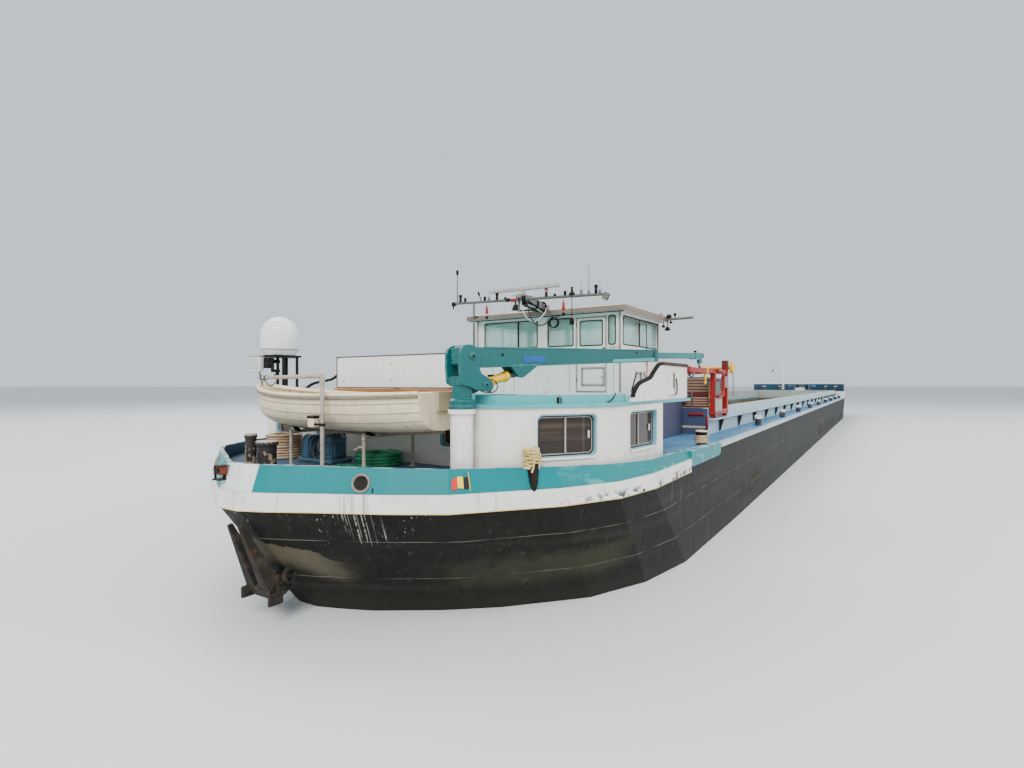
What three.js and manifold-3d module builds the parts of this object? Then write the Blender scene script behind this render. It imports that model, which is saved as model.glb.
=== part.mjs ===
// River barge, a motor cargo vessel for inland water, as a 1:2 model.
// Every size below is in metres of the full-size ship:
// x forward from the stern, y to port, z up from the flat bottom.
import * as THREE from 'three';
import { mergeVertices } from 'three/addons/utils/BufferGeometryUtils.js';
import Module from 'manifold-3d';

const wasm = await Module();
wasm.setup();

// Driving sizes
const shipLength = 67;
const halfBeam = 4.1;
const modelScale = 500;          // model millimetres for one metre of the ship
const gap = 0.0008;              // between pieces that touch
const level = {
  counter: 0.45, water: 1.0, bandFoot: 2.6, bandTop: 2.84, aftDeck: 2.9, sideDeck: 2.93,
  flange: 3.34, coaming: 3.6, roof: 3.88, roofTop: 3.93, upstand: 4.05, wingTop: 4.56,
};
const hold = { aft: 10.4, fore: 57.5, inner: 3.3, coamingOuter: 3.4, floor: 0.45 };

// Solids
function toSolid(geometry) {
  const plain = geometry.clone();
  plain.deleteAttribute('normal');
  plain.deleteAttribute('uv');
  const merged = mergeVertices(plain, 1e-5);
  return new wasm.Manifold(new wasm.Mesh({
    numProp: 3,
    vertProperties: new Float32Array(merged.attributes.position.array),
    triVerts: new Uint32Array(merged.index.array),
  }));
}

function unite(...solids) {
  return solids.flat().reduce((sum, solid) => sum.add(solid));
}

function cut(solid, ...tools) {
  return tools.flat().reduce((rest, tool) => rest.subtract(tool), solid);
}

// A box between two corners
function block([x0, x1], [y0, y1], [z0, z1]) {
  const geometry = new THREE.BoxGeometry(x1 - x0, y1 - y0, z1 - z0);
  geometry.translate((x0 + x1) / 2, (y0 + y1) / 2, (z0 + z1) / 2);
  return toSolid(geometry);
}

// A round bar from one point to another, tapered where the radii differ
function bar(from, to, radius, endRadius = radius, sides = 12) {
  const start = new THREE.Vector3(...from);
  const end = new THREE.Vector3(...to);
  const run = end.clone().sub(start);
  const geometry = new THREE.CylinderGeometry(endRadius, radius, run.length(), sides);
  geometry.translate(0, run.length() / 2, 0);
  geometry.applyQuaternion(new THREE.Quaternion().setFromUnitVectors(
    new THREE.Vector3(0, 1, 0), run.normalize()));
  geometry.translate(...from);
  return toSolid(geometry);
}

function shapeOf(points) {
  return new THREE.Shape(points.map(([a, b]) => new THREE.Vector2(a, b)));
}

// Outlines pushed through a thickness:
// plan outlines go up, side outlines (x, z) across, cross outlines (y, z) along
function planPlate(points, [z0, z1]) {
  const geometry = new THREE.ExtrudeGeometry(shapeOf(points), { depth: z1 - z0, bevelEnabled: false });
  geometry.translate(0, 0, z0);
  return toSolid(geometry);
}

function sidePlate(points, [y0, y1]) {
  const geometry = new THREE.ExtrudeGeometry(shapeOf(points), { depth: y1 - y0, bevelEnabled: false });
  geometry.rotateX(Math.PI / 2);
  geometry.translate(0, y1, 0);
  return toSolid(geometry);
}

function crossPlate(points, [x0, x1]) {
  const geometry = new THREE.ExtrudeGeometry(shapeOf(points), { depth: x1 - x0, bevelEnabled: false });
  geometry.applyMatrix4(new THREE.Matrix4().makeBasis(
    new THREE.Vector3(0, 1, 0), new THREE.Vector3(0, 0, 1), new THREE.Vector3(1, 0, 0)));
  geometry.translate(x0, 0, 0);
  return toSolid(geometry);
}

// A profile of [radius, height] turned about an upright axis
function turned(profile, [x, y, z], sides = 20) {
  const geometry = new THREE.LatheGeometry(profile.map(([r, h]) => new THREE.Vector2(r, h)), sides);
  geometry.rotateX(Math.PI / 2);
  geometry.translate(x, y, z);
  return toSolid(geometry);
}

// Rings of equally many points, joined by flat facets and closed at both ends
function loft(rings) {
  const count = rings[0].length;
  const flat = rings[0].map(([x, y]) => new THREE.Vector2(x, y));
  const caps = THREE.ShapeUtils.triangulateShape(flat, []);
  const triangles = [];
  for (let ring = 0; ring + 1 < rings.length; ring += 1) {
    for (let i = 0; i < count; i += 1) {
      const a = ring * count + i;
      const b = ring * count + (i + 1) % count;
      triangles.push(a, b, b + count, a, b + count, a + count);
    }
  }
  const top = (rings.length - 1) * count;
  caps.forEach(([a, b, c]) => {
    triangles.push(c, b, a, a + top, b + top, c + top);
  });
  return new wasm.Manifold(new wasm.Mesh({
    numProp: 3,
    vertProperties: new Float32Array(rings.flat(2)),
    triVerts: new Uint32Array(triangles),
  }));
}

// The tight convex body round a few corners
function spread(corners) {
  return wasm.Manifold.hull(corners);
}

function mirrored(points) {
  return [...points, ...points.map(([x, y, ...rest]) => [x, -y, ...rest]).reverse()];
}

function mirrorSolid(solid) {
  return solid.mirror([0, 1, 0]);
}

// Both sides of the ship
function pair(solid) {
  return solid.add(mirrorSolid(solid));
}

// An outline that runs counter-clockwise, moved inwards
function inset(points, distance) {
  return points.map(([x, y], i) => {
    const [px, py] = points[(i + points.length - 1) % points.length];
    const [nx, ny] = points[(i + 1) % points.length];
    const before = new THREE.Vector2(x - px, y - py).normalize();
    const after = new THREE.Vector2(nx - x, ny - y).normalize();
    const bisector = new THREE.Vector2(-before.y - after.y, before.x + after.x).normalize();
    const reach = distance / Math.max(0.35, bisector.dot(new THREE.Vector2(-after.y, after.x)));
    return [x + bisector.x * reach, y + bisector.y * reach];
  });
}

// Hull: the starboard outline from the sternmost point forward, at four heights
// columns: deck x, deck y, water x, water y, counter x, counter y, keel x, keel y
const sternStations = [
  [0.05, -0.2, 1.25, -0.2, 2.3, -0.2, 6.2, -0.2],
  [0.2, -0.55, 1.38, -0.55, 2.42, -0.52, 6.26, -0.52],
  [0.46, -1.02, 1.58, -1.0, 2.7, -0.95, 6.4, -0.95],
  [0.91, -1.9, 2.12, -1.8, 3.2, -1.7, 6.8, -1.6],
  [1.33, -2.56, 2.67, -2.45, 3.8, -2.3, 7.3, -2.3],
  [2.5, -3.5, 3.7, -3.35, 4.9, -3.2, 8.0, -3.0],
  [3.4, -3.94, 4.8, -3.82, 6.0, -3.7, 8.8, -3.45],
  [4.4, -4.1, 6.2, -4.06, 7.6, -4.02, 9.8, -3.7],
  [hold.aft, -4.1, hold.aft, -4.1, hold.aft, -4.1, hold.aft, -3.8],
];
const deckOutline = mirrored(sternStations.map((row) => [row[0], row[1]]));

function sternRing(column, z) {
  return mirrored(sternStations.map((row) => [row[column], row[column + 1]])).map(([x, y]) => [x, y, z]);
}

// Tunnel roof over the propeller: a half round of this radius on upright sides
// columns: x, radius, height of the round's centre
const tunnelStations = [
  [0.8, 0.8, -0.02], [1.9, 0.82, 0.4], [3.0, 0.82, 0.8], [4.4, 0.82, 0.8], [8.4, 0.5, -0.55],
];
const shaftHeight = 0.8;

function tunnelTool() {
  const arcSteps = 8;
  const rings = tunnelStations.map(([x, radius, centre]) => {
    const ring = [[x, radius, -1.2]];
    for (let i = 0; i <= arcSteps; i += 1) {
      const angle = Math.PI * i / arcSteps;
      ring.push([x, radius * Math.cos(angle), centre + radius * Math.sin(angle)]);
    }
    ring.push([x, -radius, -1.2]);
    return ring;
  });
  return loftAlong(rings);
}

// The same loft for rings that stand across the ship
function loftAlong(rings) {
  const count = rings[0].length;
  const flat = rings[0].map(([, y, z]) => new THREE.Vector2(y, z));
  const caps = THREE.ShapeUtils.triangulateShape(flat, []);
  const triangles = [];
  for (let ring = 0; ring + 1 < rings.length; ring += 1) {
    for (let i = 0; i < count; i += 1) {
      const a = ring * count + i;
      const b = ring * count + (i + 1) % count;
      triangles.push(a, b, b + count, a, b + count, a + count);
    }
  }
  const last = (rings.length - 1) * count;
  caps.forEach(([a, b, c]) => {
    triangles.push(c, b, a, a + last, b + last, c + last);
  });
  return new wasm.Manifold(new wasm.Mesh({
    numProp: 3,
    vertProperties: new Float32Array(rings.flat(2)),
    triVerts: new Uint32Array(triangles),
  }));
}

const cabin = { aft: 3.4, fore: 5.2, half: 3.0, floor: 1.85 };
const bandEnd = 6.35;            // forward of this the black plating goes up to the deck

function cabinWell(z0, z1) {
  return block([cabin.aft, cabin.fore], [-cabin.half, cabin.half], [z0, z1]);
}

function sternBody(top) {
  return loft([sternRing(6, 0), sternRing(4, level.counter), sternRing(2, level.water), sternRing(0, top)]);
}

function hullAft() {
  const body = sternBody(level.bandFoot - gap);
  const upper = cut(planPlate(deckOutline, [level.bandFoot - 0.1, level.bandTop - gap]),
    block([-1, bandEnd + gap], [-5, 5], [2, 3]));
  return cut(unite(body, upper), tunnelTool(), cabinWell(cabin.floor, 3));
}

// The white band goes right round the stern as one deck-high slab
function sternBand() {
  return cut(planPlate(inset(deckOutline, -0.03), [level.bandFoot, level.bandTop - gap]),
    block([bandEnd, 12], [-5, 5], [2, 3]), cabinWell(2, 3));
}

function hullMid() {
  const bilge = 0.3;
  const side = [[-hold.inner, level.bandTop - gap], [-halfBeam, level.bandTop - gap], [-halfBeam, bilge],
    [-halfBeam + 0.09, 0.09], [-halfBeam + bilge, 0]];
  const profile = [...side, ...side.map(([y, z]) => [-y, z]).reverse(),
    [hold.inner, hold.floor], [-hold.inner, hold.floor]];
  return crossPlate(profile, [hold.aft + gap, hold.fore - gap]);
}

// Bow: the starboard outline from the hold forward, at four heights
// columns: deck x, deck y, water x, water y, keel x, keel y
const bowStations = [
  [hold.fore, -4.1, hold.fore, -4.1, hold.fore, -3.8],
  [60.5, -4.08, 60.2, -4.0, 59.6, -3.65],
  [62.8, -3.75, 62.2, -3.5, 61.2, -3.0],
  [64.6, -2.95, 63.8, -2.65, 62.5, -2.15],
  [65.9, -1.9, 65.0, -1.6, 63.5, -1.25],
  [66.7, -0.85, 65.8, -0.7, 64.2, -0.5],
  [shipLength, -0.12, 66.1, -0.1, 64.5, -0.1],
];
const foredeck = { foot: 2.84, deck: 3.5, rail: 4.15 };
const bowOutline = mirrored(bowStations.map((row) => [row[0], row[1]]));

function bowRing(column, z) {
  return mirrored(bowStations.map((row) => [row[column], row[column + 1]])).map(([x, y]) => [x, y, z]);
}

function hullFore() {
  return loft([bowRing(4, 0), bowRing(2, 1.2), bowRing(0, foredeck.foot - gap)]);
}

function forecastle() {
  const places = [[60.6, -3.3], [61.2, -3.3], [64.0, -2.2]];
  const posts = places.map((at) => bollard(at, foredeck.deck - 0.01, 0.14, 0.5));
  return unite(planPlate(bowOutline, [foredeck.foot, foredeck.deck]), pair(unite(posts)));
}

function bulwarkFore() {
  const outer = planPlate(inset(bowOutline, 0.02), [foredeck.deck + gap, foredeck.rail]);
  const inner = planPlate(inset(bowOutline, 0.09), [foredeck.deck - 0.5, foredeck.rail + 0.5]);
  const rail = cut(planPlate(inset(bowOutline, -0.03), [foredeck.rail, foredeck.rail + 0.05]),
    planPlate(inset(bowOutline, 0.12), [foredeck.rail - 1, foredeck.rail + 1]));
  return cut(unite(cut(outer, inner), rail), block([57, 59.5], [-5, 5], [3, 5]));
}

// Decks
function aftDeck() {
  return cut(planPlate(inset(deckOutline, 0.08), [level.bandTop, level.aftDeck]),
    block([sideDeckAft - gap, 12], [-5, 5], [2, 4]), cabinWell(2, 4));
}

// Side decks beside the hold, one with the deck before it, and their rows of bollards
const sideDeckAft = 5.4;
const bulwarkEnd = 8.6;

function sideDecks() {
  const z = [level.bandTop, level.sideDeck];
  const strip = block([bulwarkEnd + 0.02, hold.fore - gap], [-halfBeam - 0.03, -hold.inner], z);
  const row = [];
  for (const x of [7.9, ...Array.from({ length: 9 }, (_, i) => 14.43 + 5.05 * i)]) {
    row.push(bar([x, -3.9, level.sideDeck - 0.01], [x, -3.9, level.sideDeck + 0.3], 0.1, 0.1, 8));
  }
  const inside = halfBeam - 0.12;
  const across = block([sideDeckAft, hold.aft], [-inside, inside], z);
  return unite(across, pair(unite(strip, row)));
}

// Height of the bulwark's top above the bottom, falling forward; columns: x, z
const bulwarkTop = [[0, 3.18], [1, 3.15], [2.5, 3.11], [4.4, 3.04], [bulwarkEnd, 2.95]];

function topAt(x) {
  const next = Math.max(1, bulwarkTop.findIndex(([at]) => at >= x));
  const [[x0, z0], [x1, z1]] = [bulwarkTop[next - 1], bulwarkTop[next]];
  return z0 + (z1 - z0) * (x - x0) / (x1 - x0);
}

// The bulwark leans in round the stern, and ends in a plate on the ship's side
function bulwarkAft() {
  const lean = 0.3;
  const wall = 0.06;
  const foot = level.bandTop + gap;
  const outline = mirrored([...sternStations.slice(0, -1).map((row) => [row[0], row[1]]),
    [bulwarkEnd, -halfBeam]]);
  const ring = (distance, heightAt) => {
    const [straight, leaned] = [inset(outline, distance), inset(outline, distance + lean)];
    return straight.map(([x, y], i) => {
      const z = heightAt(Math.min(Math.max(x, 0), bulwarkEnd));
      const share = z - foot;
      return [x + (leaned[i][0] - x) * share, y + (leaned[i][1] - y) * share, z];
    });
  };
  const outer = loft([ring(0, () => foot), ring(0, topAt)]);
  const inner = loft([ring(wall, () => foot - 0.01), ring(wall, (x) => topAt(x) + 0.01)]);
  const ends = block([bulwarkEnd - 0.17, 12], [-3.99, 3.99], [2, 4]);
  const side = -halfBeam - 0.03;
  const apron = unite(
    sidePlate([[bandEnd + gap, 2.72], [bandEnd + 0.1, 2.69], [8.5, 2.69], [bulwarkEnd, 2.75],
      [bulwarkEnd, 2.86], [bandEnd + gap, 2.86]], [side, -halfBeam - gap]),
    sidePlate([[bandEnd + gap, 2.85], [bulwarkEnd, 2.85], [bulwarkEnd, 2.93], [8.5, 2.95],
      [bandEnd + gap, 2.98]], [side, -halfBeam + 0.05]));
  return unite(cut(outer, inner, ends), pair(apron));
}

// Hold coaming: four plates with a flange on triangular brackets
function coaming() {
  const foot = level.sideDeck + gap;
  const bracketStep = 2.4;
  const side = -hold.coamingOuter;
  const frame = cut(block([hold.aft, hold.fore], [side, -side], [foot, level.coaming]),
    block([hold.aft + 0.1, hold.fore - 0.1], [-hold.inner, hold.inner], [2, 5]));
  const flange = block([hold.aft + 0.05, hold.fore - 0.05], [side - 0.16, side + 0.03],
    [level.flange - 0.05, level.flange]);
  const bracket = crossPlate([[side - 0.14, level.flange - 0.03], [side - 0.04, foot + 0.03],
    [side + 0.02, foot + 0.03], [side + 0.02, level.flange - 0.03]], [-0.03, 0.03]);
  const brackets = [];
  for (let x = hold.aft + 1.2; x < hold.fore; x += bracketStep) {
    brackets.push(bracket.translate([x, 0, 0]));
  }
  return unite(frame, pair(unite(flange, ...brackets)));
}

// Plank floor of the hold
function holdFloor() {
  return block([hold.aft + 0.02, hold.fore - 0.02], [-hold.inner + 0.02, hold.inner - 0.02],
    [hold.floor + gap, hold.floor + 0.06]);
}

// Deckhouse: outline of its walls from the crane's foot along starboard, forward, and back to port
const houseOutline = [
  [2.9, -2.35], [2.02, -2.35], [2.02, -2.75], [2.07, -2.88], [2.18, -2.96], [3.35, -3.72], [3.75, -3.81],
  [5.35, -3.92], [5.35, -2.8], [10.3, -2.8], [10.3, 2.8], [5.35, 2.8],
  [5.35, 3.92], [3.75, 3.81], [3.35, 3.72], [2.95, 3.5], [2.9, 3.4],
];
const wallThickness = 0.08;
const houseWindow = { foot: 3.2, top: 3.78 };

// The roof shelters the doors, and reaches under the wheelhouse's fore end
const roofOutline = houseOutline.map(([x, y]) => {
  if (x === 5.35) return [6.88, y];
  return x === 10.3 ? [10.86, y] : [x, y];
});

// Window openings of the deckhouse
// columns: centre x, centre y, width, turn in degrees from the ship's length
const houseWindows = [
  [2.864, -3.405, 0.935, -33], [4.577, -3.867, 1.04, -3.9], [4.577, 3.867, 1.04, 3.9],
  [2.9, -1.5, 0.8, 90], [2.9, 1.5, 0.8, 90], [2.9, 2.9, 0.5, 90],
];
const doorway = { x: 5.35, foot: 2.96, top: 3.8, half: 0.25, centre: 3.6 };

function standing(width, thickness, [z0, z1], [x, y], degrees) {
  return block([-width / 2, width / 2], [-thickness / 2, thickness / 2], [z0, z1])
    .rotate([0, 0, degrees]).translate([x, y, 0]);
}

function houseWalls() {
  const z = [level.aftDeck + gap, level.roof - gap];
  const shell = cut(planPlate(houseOutline, z), planPlate(inset(houseOutline, wallThickness), [2, 5]));
  const openings = houseWindows.map(([x, y, width, turn]) => (
    standing(width, 0.4, [houseWindow.foot, houseWindow.top], [x, y], turn)));
  const doors = pair(block([doorway.x - 0.2, doorway.x + 0.2], [doorway.centre - doorway.half, doorway.centre + doorway.half],
    [doorway.foot, doorway.top]));
  const overDecks = block([sideDeckAft - 0.06, 11.2], [-4, 4], [2.5, level.sideDeck + gap]);
  return cut(shell, openings, doors, overDecks);
}

// One band of panes behind the openings, broken at the doors
function houseGlass() {
  const z = [houseWindow.foot - 0.03, houseWindow.top + 0.03];
  const band = cut(planPlate(inset(houseOutline, wallThickness + gap), z),
    planPlate(inset(houseOutline, wallThickness + 0.02), [2, 5]));
  return cut(band, block([5.2, 12], [-5, 5], [2, 5]));
}

function houseDoor() {
  const face = doorway.x + 0.015;
  return unite(
    block([face - 0.045, face], [doorway.centre - doorway.half + 0.012, doorway.centre + doorway.half - 0.012],
      [doorway.foot + 0.012, doorway.top - 0.012]),
    bar([face - 0.005, doorway.centre + 0.18, 3.4], [face + 0.035, doorway.centre + 0.18, 3.4], 0.02));
}

function houseRoof() {
  const slab = planPlate(inset(roofOutline, -0.03), [level.roof, level.roofTop]);
  const lip = cut(planPlate(inset(houseOutline, 0.06), [level.roofTop - 0.01, level.upstand]),
    planPlate(inset(houseOutline, 0.12), [3, 5]), block([4.05, 11.5], [-5, 5], [level.roofTop, 5]));
  return unite(slab, lip);
}

// Screens that stand on the roof's edges, rising forward in one sweep
function wingWall() {
  const foot = level.roofTop + gap;
  const outline = [[4.04, foot], [6.85, foot], [6.85, level.wingTop], [5.5, level.wingTop],
    [5.36, 4.545], [5.25, 4.51], [5.01, 4.39], [4.85, 4.3], [4.41, 4.22], [4.25, 4.16], [4.12, 4.06]];
  return sidePlate(outline, [-3.9, -3.84]);
}

// Wheelhouse
const bridge = {
  aft: 8.15, fore: 10.8, half: 2.03, foot: 3.93, sill: 5.12, head: 5.78, top: 5.86, wall: 0.06,
};

// columns: centre x, centre y, width, turn
const bridgeWindows = [
  [bridge.aft, -1.82, 0.16, 90], [bridge.aft, -0.48, 0.68, 90], [bridge.aft, 0.975, 1.6, 90],
  [8.8, -bridge.half, 1.02, 0], [10.03, -bridge.half, 1.36, 0],
  [8.8, bridge.half, 1.02, 0], [10.03, bridge.half, 1.36, 0],
  [bridge.fore, -1.3, 1.1, 90], [bridge.fore, 0, 1.2, 90], [bridge.fore, 1.3, 1.1, 90],
];
const bridgeDoor = { from: -1.69, to: -0.89, foot: 4.0, top: 5.79 };

function bridgeWalls() {
  const z = [bridge.foot + gap, bridge.top];
  const outer = block([bridge.aft, bridge.fore], [-bridge.half, bridge.half], z);
  const inner = block([bridge.aft + bridge.wall, bridge.fore - bridge.wall],
    [-bridge.half + bridge.wall, bridge.half - bridge.wall], [3, 7]);
  const openings = bridgeWindows.map(([x, y, width, turn]) => (
    standing(width, 0.3, [bridge.sill, bridge.head], [x, y], turn)));
  const door = block([bridge.aft - 0.1, bridge.aft + 0.1], [bridgeDoor.from, bridgeDoor.to],
    [bridgeDoor.foot, bridgeDoor.top]);
  return cut(outer, inner, openings, door);
}

function bridgeGlass() {
  const z = [bridge.sill - 0.03, bridge.head + 0.03];
  const within = (margin, height) => block([bridge.aft + margin, bridge.fore - margin],
    [-bridge.half + margin, bridge.half - margin], height);
  return cut(within(bridge.wall + gap, z), within(bridge.wall + 0.02, [4, 7]),
    block([8, bridge.aft + 0.2], [bridgeDoor.from - 0.04, bridgeDoor.to + 0.04], [4, 7]));
}

function bridgeRoof() {
  return unite(
    block([bridge.aft - 0.2, bridge.fore + 0.25], [-bridge.half - 0.18, bridge.half + 0.18],
      [bridge.top + gap, bridge.top + 0.12]),
    block([bridge.aft - 0.05, bridge.fore + 0.1], [-bridge.half, bridge.half], [bridge.top + 0.11, 6.02]));
}

function bridgeDoorLeaf() {
  const play = 0.012;
  const leaf = block([bridge.aft + 0.005, bridge.aft + 0.05], [bridgeDoor.from + play, bridgeDoor.to - play],
    [bridgeDoor.foot + play, bridgeDoor.top - play]);
  const window = block([bridge.aft - 0.1, bridge.aft + 0.1], [bridgeDoor.from + 0.12, bridgeDoor.to - 0.12],
    [bridge.sill, bridgeDoor.top - 0.1]);
  const knobY = bridgeDoor.from + 0.08;
  const knob = bar([bridge.aft - 0.05, knobY, 4.95], [bridge.aft + 0.02, knobY, 4.95], 0.02);
  return unite(cut(leaf, window), knob);
}

function helm() {
  const floor = bridge.foot + gap;
  const console = sidePlate([[9.9, floor], [10.55, floor], [10.55, 5.0], [10.35, 5.05], [9.85, 4.85]],
    [-1.1, 1.1]);
  const seat = unite(
    bar([9.1, 0, floor], [9.1, 0, 4.45], 0.06),
    block([8.85, 9.35], [-0.26, 0.26], [4.4, 4.55]),
    block([8.82, 8.92], [-0.24, 0.24], [4.5, 5.15]));
  return unite(console, seat, block([8.85, 9.95], [-0.3, 0.3], [floor, floor + 0.02]));
}

// Radar mast: a bar with lamps, on one post and on an arm from the wheelhouse roof's aft edge
const mast = { x: 7.2, bar: 6.2, half: 2.0, postY: 1.43 };

function radarMast() {
  const { x, bar: z, half, postY } = mast;
  const ledge = bridge.top + 0.12 + gap;
  const post = bar([x, postY, level.roofTop + gap], [x, postY, z + 0.02], 0.032, 0.025);
  const cross = bar([x, -half, z - 0.07], [x, half, z + 0.03], 0.034, 0.034, 10);
  const bracket = block([bridge.aft - 0.18, bridge.aft - 0.06], [-0.2, 0.2], [ledge, ledge + 0.14]);
  const armSide = [[x - 0.06, z - 0.05], [bridge.aft - 0.3, ledge + 0.02], [bridge.aft - 0.07, ledge + 0.02],
    [bridge.aft - 0.07, ledge + 0.12], [x + 0.2, z + 0.06], [x - 0.06, z + 0.06]];
  const arms = [-0.15, 0.1].map((y) => sidePlate(armSide, [y, y + 0.05]));
  const brace = bar([x, 0.12, 5.9], [x, 0.12, z], 0.03);
  const strut = bar([x, 0.12, 5.92], [bridge.aft - 0.1, 0.12, ledge + 0.05], 0.025);
  const lamps = [-1.85, -1.5, -1.1, 1.1, 1.7, 1.85].map((y) => (
    bar([x, y, z - 0.024 + 0.025 * y], [x, y, z + 0.11 + 0.025 * y], 0.027, 0.027, 9)));
  const pedestal = turned([[0, 0], [0.1, 0], [0.1, 0.08], [0.06, 0.13], [0, 0.13]], [x, 0, z - 0.033], 16);
  const whip = bar([x, 1.95, z + 0.03], [x, 1.95, 6.95], 0.018, 0.012, 8);
  return unite(post, cross, bracket, arms, brace, strut, lamps, pedestal, whip);
}

function radarScanner() {
  const z = mast.bar + 0.13;
  return unite(
    block([mast.x - 0.05, mast.x + 0.05], [-0.94, 0.94], [z + 0.06, z + 0.13]),
    bar([mast.x, 0, z], [mast.x, 0, z + 0.08], 0.05));
}

// Satellite dome on its black stand at the roof's port corner
const dome = { x: 3.2, y: 3.46, radius: 0.38, centre: 5.21, table: 4.79 };

function domeStand() {
  const foot = level.roofTop + gap;
  const legs = [[3.1, 3.2], [3.1, 3.39], [3.42, 3.55], [3.42, 3.2]].map(([x, y]) => (
    bar([x, y, foot], [x, y, dome.table], 0.03)));
  return unite(legs, block([dome.x - 0.3, dome.x + 0.3], [dome.y - 0.3, dome.y + 0.3],
    [dome.table - 0.04, dome.table]));
}

function domeBall() {
  const profile = [[0, 0], [0.3, 0], [0.36, 0.1], [0.38, 0.3]];
  for (let step = 0; step <= 6; step += 1) {
    const angle = Math.PI / 2 * step / 6;
    profile.push([dome.radius * Math.cos(angle), dome.centre - dome.table + dome.radius * Math.sin(angle)]);
  }
  profile[profile.length - 1][0] = 0;
  return turned(profile, [dome.x, dome.y, dome.table + gap], 24);
}

// Ship's boat across the stern, on two chocks; columns: y, half breadth, keel height, rail height
const boatX = 1.9;
const boatStations = [
  [-2.0, 0.5, 3.56, 4.08], [-1.0, 0.66, 3.49, 4.05], [0.3, 0.7, 3.49, 4.04], [1.2, 0.55, 3.52, 4.08],
  [1.8, 0.27, 3.62, 4.14], [2.1, 0.04, 3.78, 4.2],
];

function boatShell(shrink, lift) {
  const rings = boatStations.map(([y, half, keel, rail], i) => {
    const b = Math.max(half - shrink, 0.012);
    const end = i === 0 ? shrink : i === boatStations.length - 1 ? -shrink : 0;
    const z = (k) => keel + lift + (rail - keel) * k;
    return [[boatX - b, y + end, rail + (lift ? 0.2 : 0)], [boatX - b * 0.93, y + end, z(0.4)],
      [boatX - b * 0.55, y + end, z(0.08)], [boatX, y + end, z(0)], [boatX + b * 0.55, y + end, z(0.08)],
      [boatX + b * 0.93, y + end, z(0.4)], [boatX + b, y + end, rail + (lift ? 0.2 : 0)]];
  });
  return loftAcross(rings);
}

// Rings that stand along the ship, joined across it
function loftAcross(rings) {
  const swap = (ring) => ring.map(([x, y, z]) => [y, -x, z]);
  return loftAlong(rings.map(swap).map((ring) => [...ring].reverse())).rotate([0, 0, 90]);
}

function shipsBoat() {
  const thwarts = [-1.1, 0.1, 1.0].map((y) => (
    block([boatX - 0.8, boatX + 0.8], [y - 0.1, y + 0.1], [3.86, 3.9])));
  return unite(cut(boatShell(0, 0), boatShell(0.035, 0.03)),
    thwarts.map((thwart) => thwart.intersect(boatShell(0.01, 0))));
}

// Two pipe frames under the boat, tied across, with sloping chocks against its bilges
const cradle = { aft: 1.6, fore: 2.62, frames: [0.88, -0.78], pipe: 3.44, radius: 0.026 };

function boatChocks() {
  const foot = level.aftDeck + gap;
  const { aft, fore, pipe, radius } = cradle;
  const frames = cradle.frames.map((y) => unite(
    bar([aft, y, foot], [aft, y, pipe + 0.03], radius),
    bar([fore, y, foot], [fore, y, pipe + 0.03], radius),
    bar([aft - 0.02, y, pipe], [fore + 0.02, y, pipe], radius),
    [-1, 1].map((side) => sidePlate([[boatX + side * 0.1, pipe], [boatX + side * 0.18, pipe],
      [boatX + side * 0.44, 3.64], [boatX + side * 0.36, 3.64]], [y - 0.025, y + 0.025])),
    block([boatX - 0.05, boatX + 0.05], [y - 0.04, y + 0.04], [pipe, 3.56])));
  const tie = bar([boatX + 0.12, cradle.frames[1], pipe], [boatX + 0.12, cradle.frames[0], pipe], 0.025);
  return cut(unite(frames, tie), boatShell(-0.012, -0.01));
}

// Blank board in its frame at the roof's aft edge
function nameBoard() {
  const foot = level.upstand + gap;
  return unite(
    block([2.93, 2.97], [-1.39, 1.39], [foot + 0.06, 4.7]),
    block([2.9, 3.0], [-1.42, 1.42], [foot, foot + 0.07]),
    [-1.2, 1.2].map((y) => block([3.03, 3.12], [y - 0.04, y + 0.04], [level.roofTop + gap, 4.6])),
    [-1.2, 1.2].map((y) => block([2.95, 3.06], [y - 0.03, y + 0.03], [4.3, 4.36])));
}

// Deck crane on its column beside the deckhouse corner
const crane = {
  x: 1.8, y: -2.4, radius: 0.13, foot: 2.9, neck: 3.87, pinHeight: 4.56, turn: -16.7,
  boomEnd: 4.15, reachEnd: 5.66, rootTop: 4.67,
};

// A solid drawn along +x from the column's axis, turned to the crane's heading and set in place
function onCrane(solid) {
  return solid.rotate([0, 0, crane.turn]).translate([crane.x, crane.y, 0]);
}

function craneColumn() {
  return onCrane(unite(
    bar([0, 0, crane.foot + gap], [0, 0, crane.neck - 0.05], 0.15, 0.15, 20),
    bar([0, 0, crane.neck - 0.06], [0, 0, crane.neck], 0.18, 0.18, 20),
    bar([0, 0, crane.foot + gap], [0, 0, crane.foot + 0.05], 0.2, 0.2, 20)));
}

const luffPin = { x: 0.05, z: 4.56, radius: 0.04 };
const cylinderFoot = { x: 0.27, z: 4.19 };
const cylinderEye = { x: 0.95, z: 4.36 };

function craneHead() {
  const post = bar([0, 0, crane.neck + gap], [0, 0, 4.3], crane.radius, crane.radius, 20);
  const collar = bar([0, 0, crane.neck + gap], [0, 0, crane.neck + 0.07], 0.17, 0.17, 20);
  const cheeks = [-0.17, 0.13].map((y) => sidePlate([[-0.14, 4.2], [0.14, 4.14], [0.36, 4.1], [0.36, 4.26],
    [0.16, 4.36], [0.16, 4.62], [0.08, 4.7], [-0.1, 4.7], [-0.16, 4.6]], [y, y + 0.04]));
  const web = block([-0.14, 0.12], [-0.14, 0.14], [4.16, 4.3]);
  const lugPin = bar([cylinderFoot.x, -0.14, cylinderFoot.z], [cylinderFoot.x, 0.14, cylinderFoot.z], 0.025);
  const bossPin = bar([luffPin.x, -0.2, luffPin.z], [luffPin.x, 0.2, luffPin.z], luffPin.radius);
  return onCrane(unite(post, collar, cheeks, web, lugPin, bossPin));
}

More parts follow.
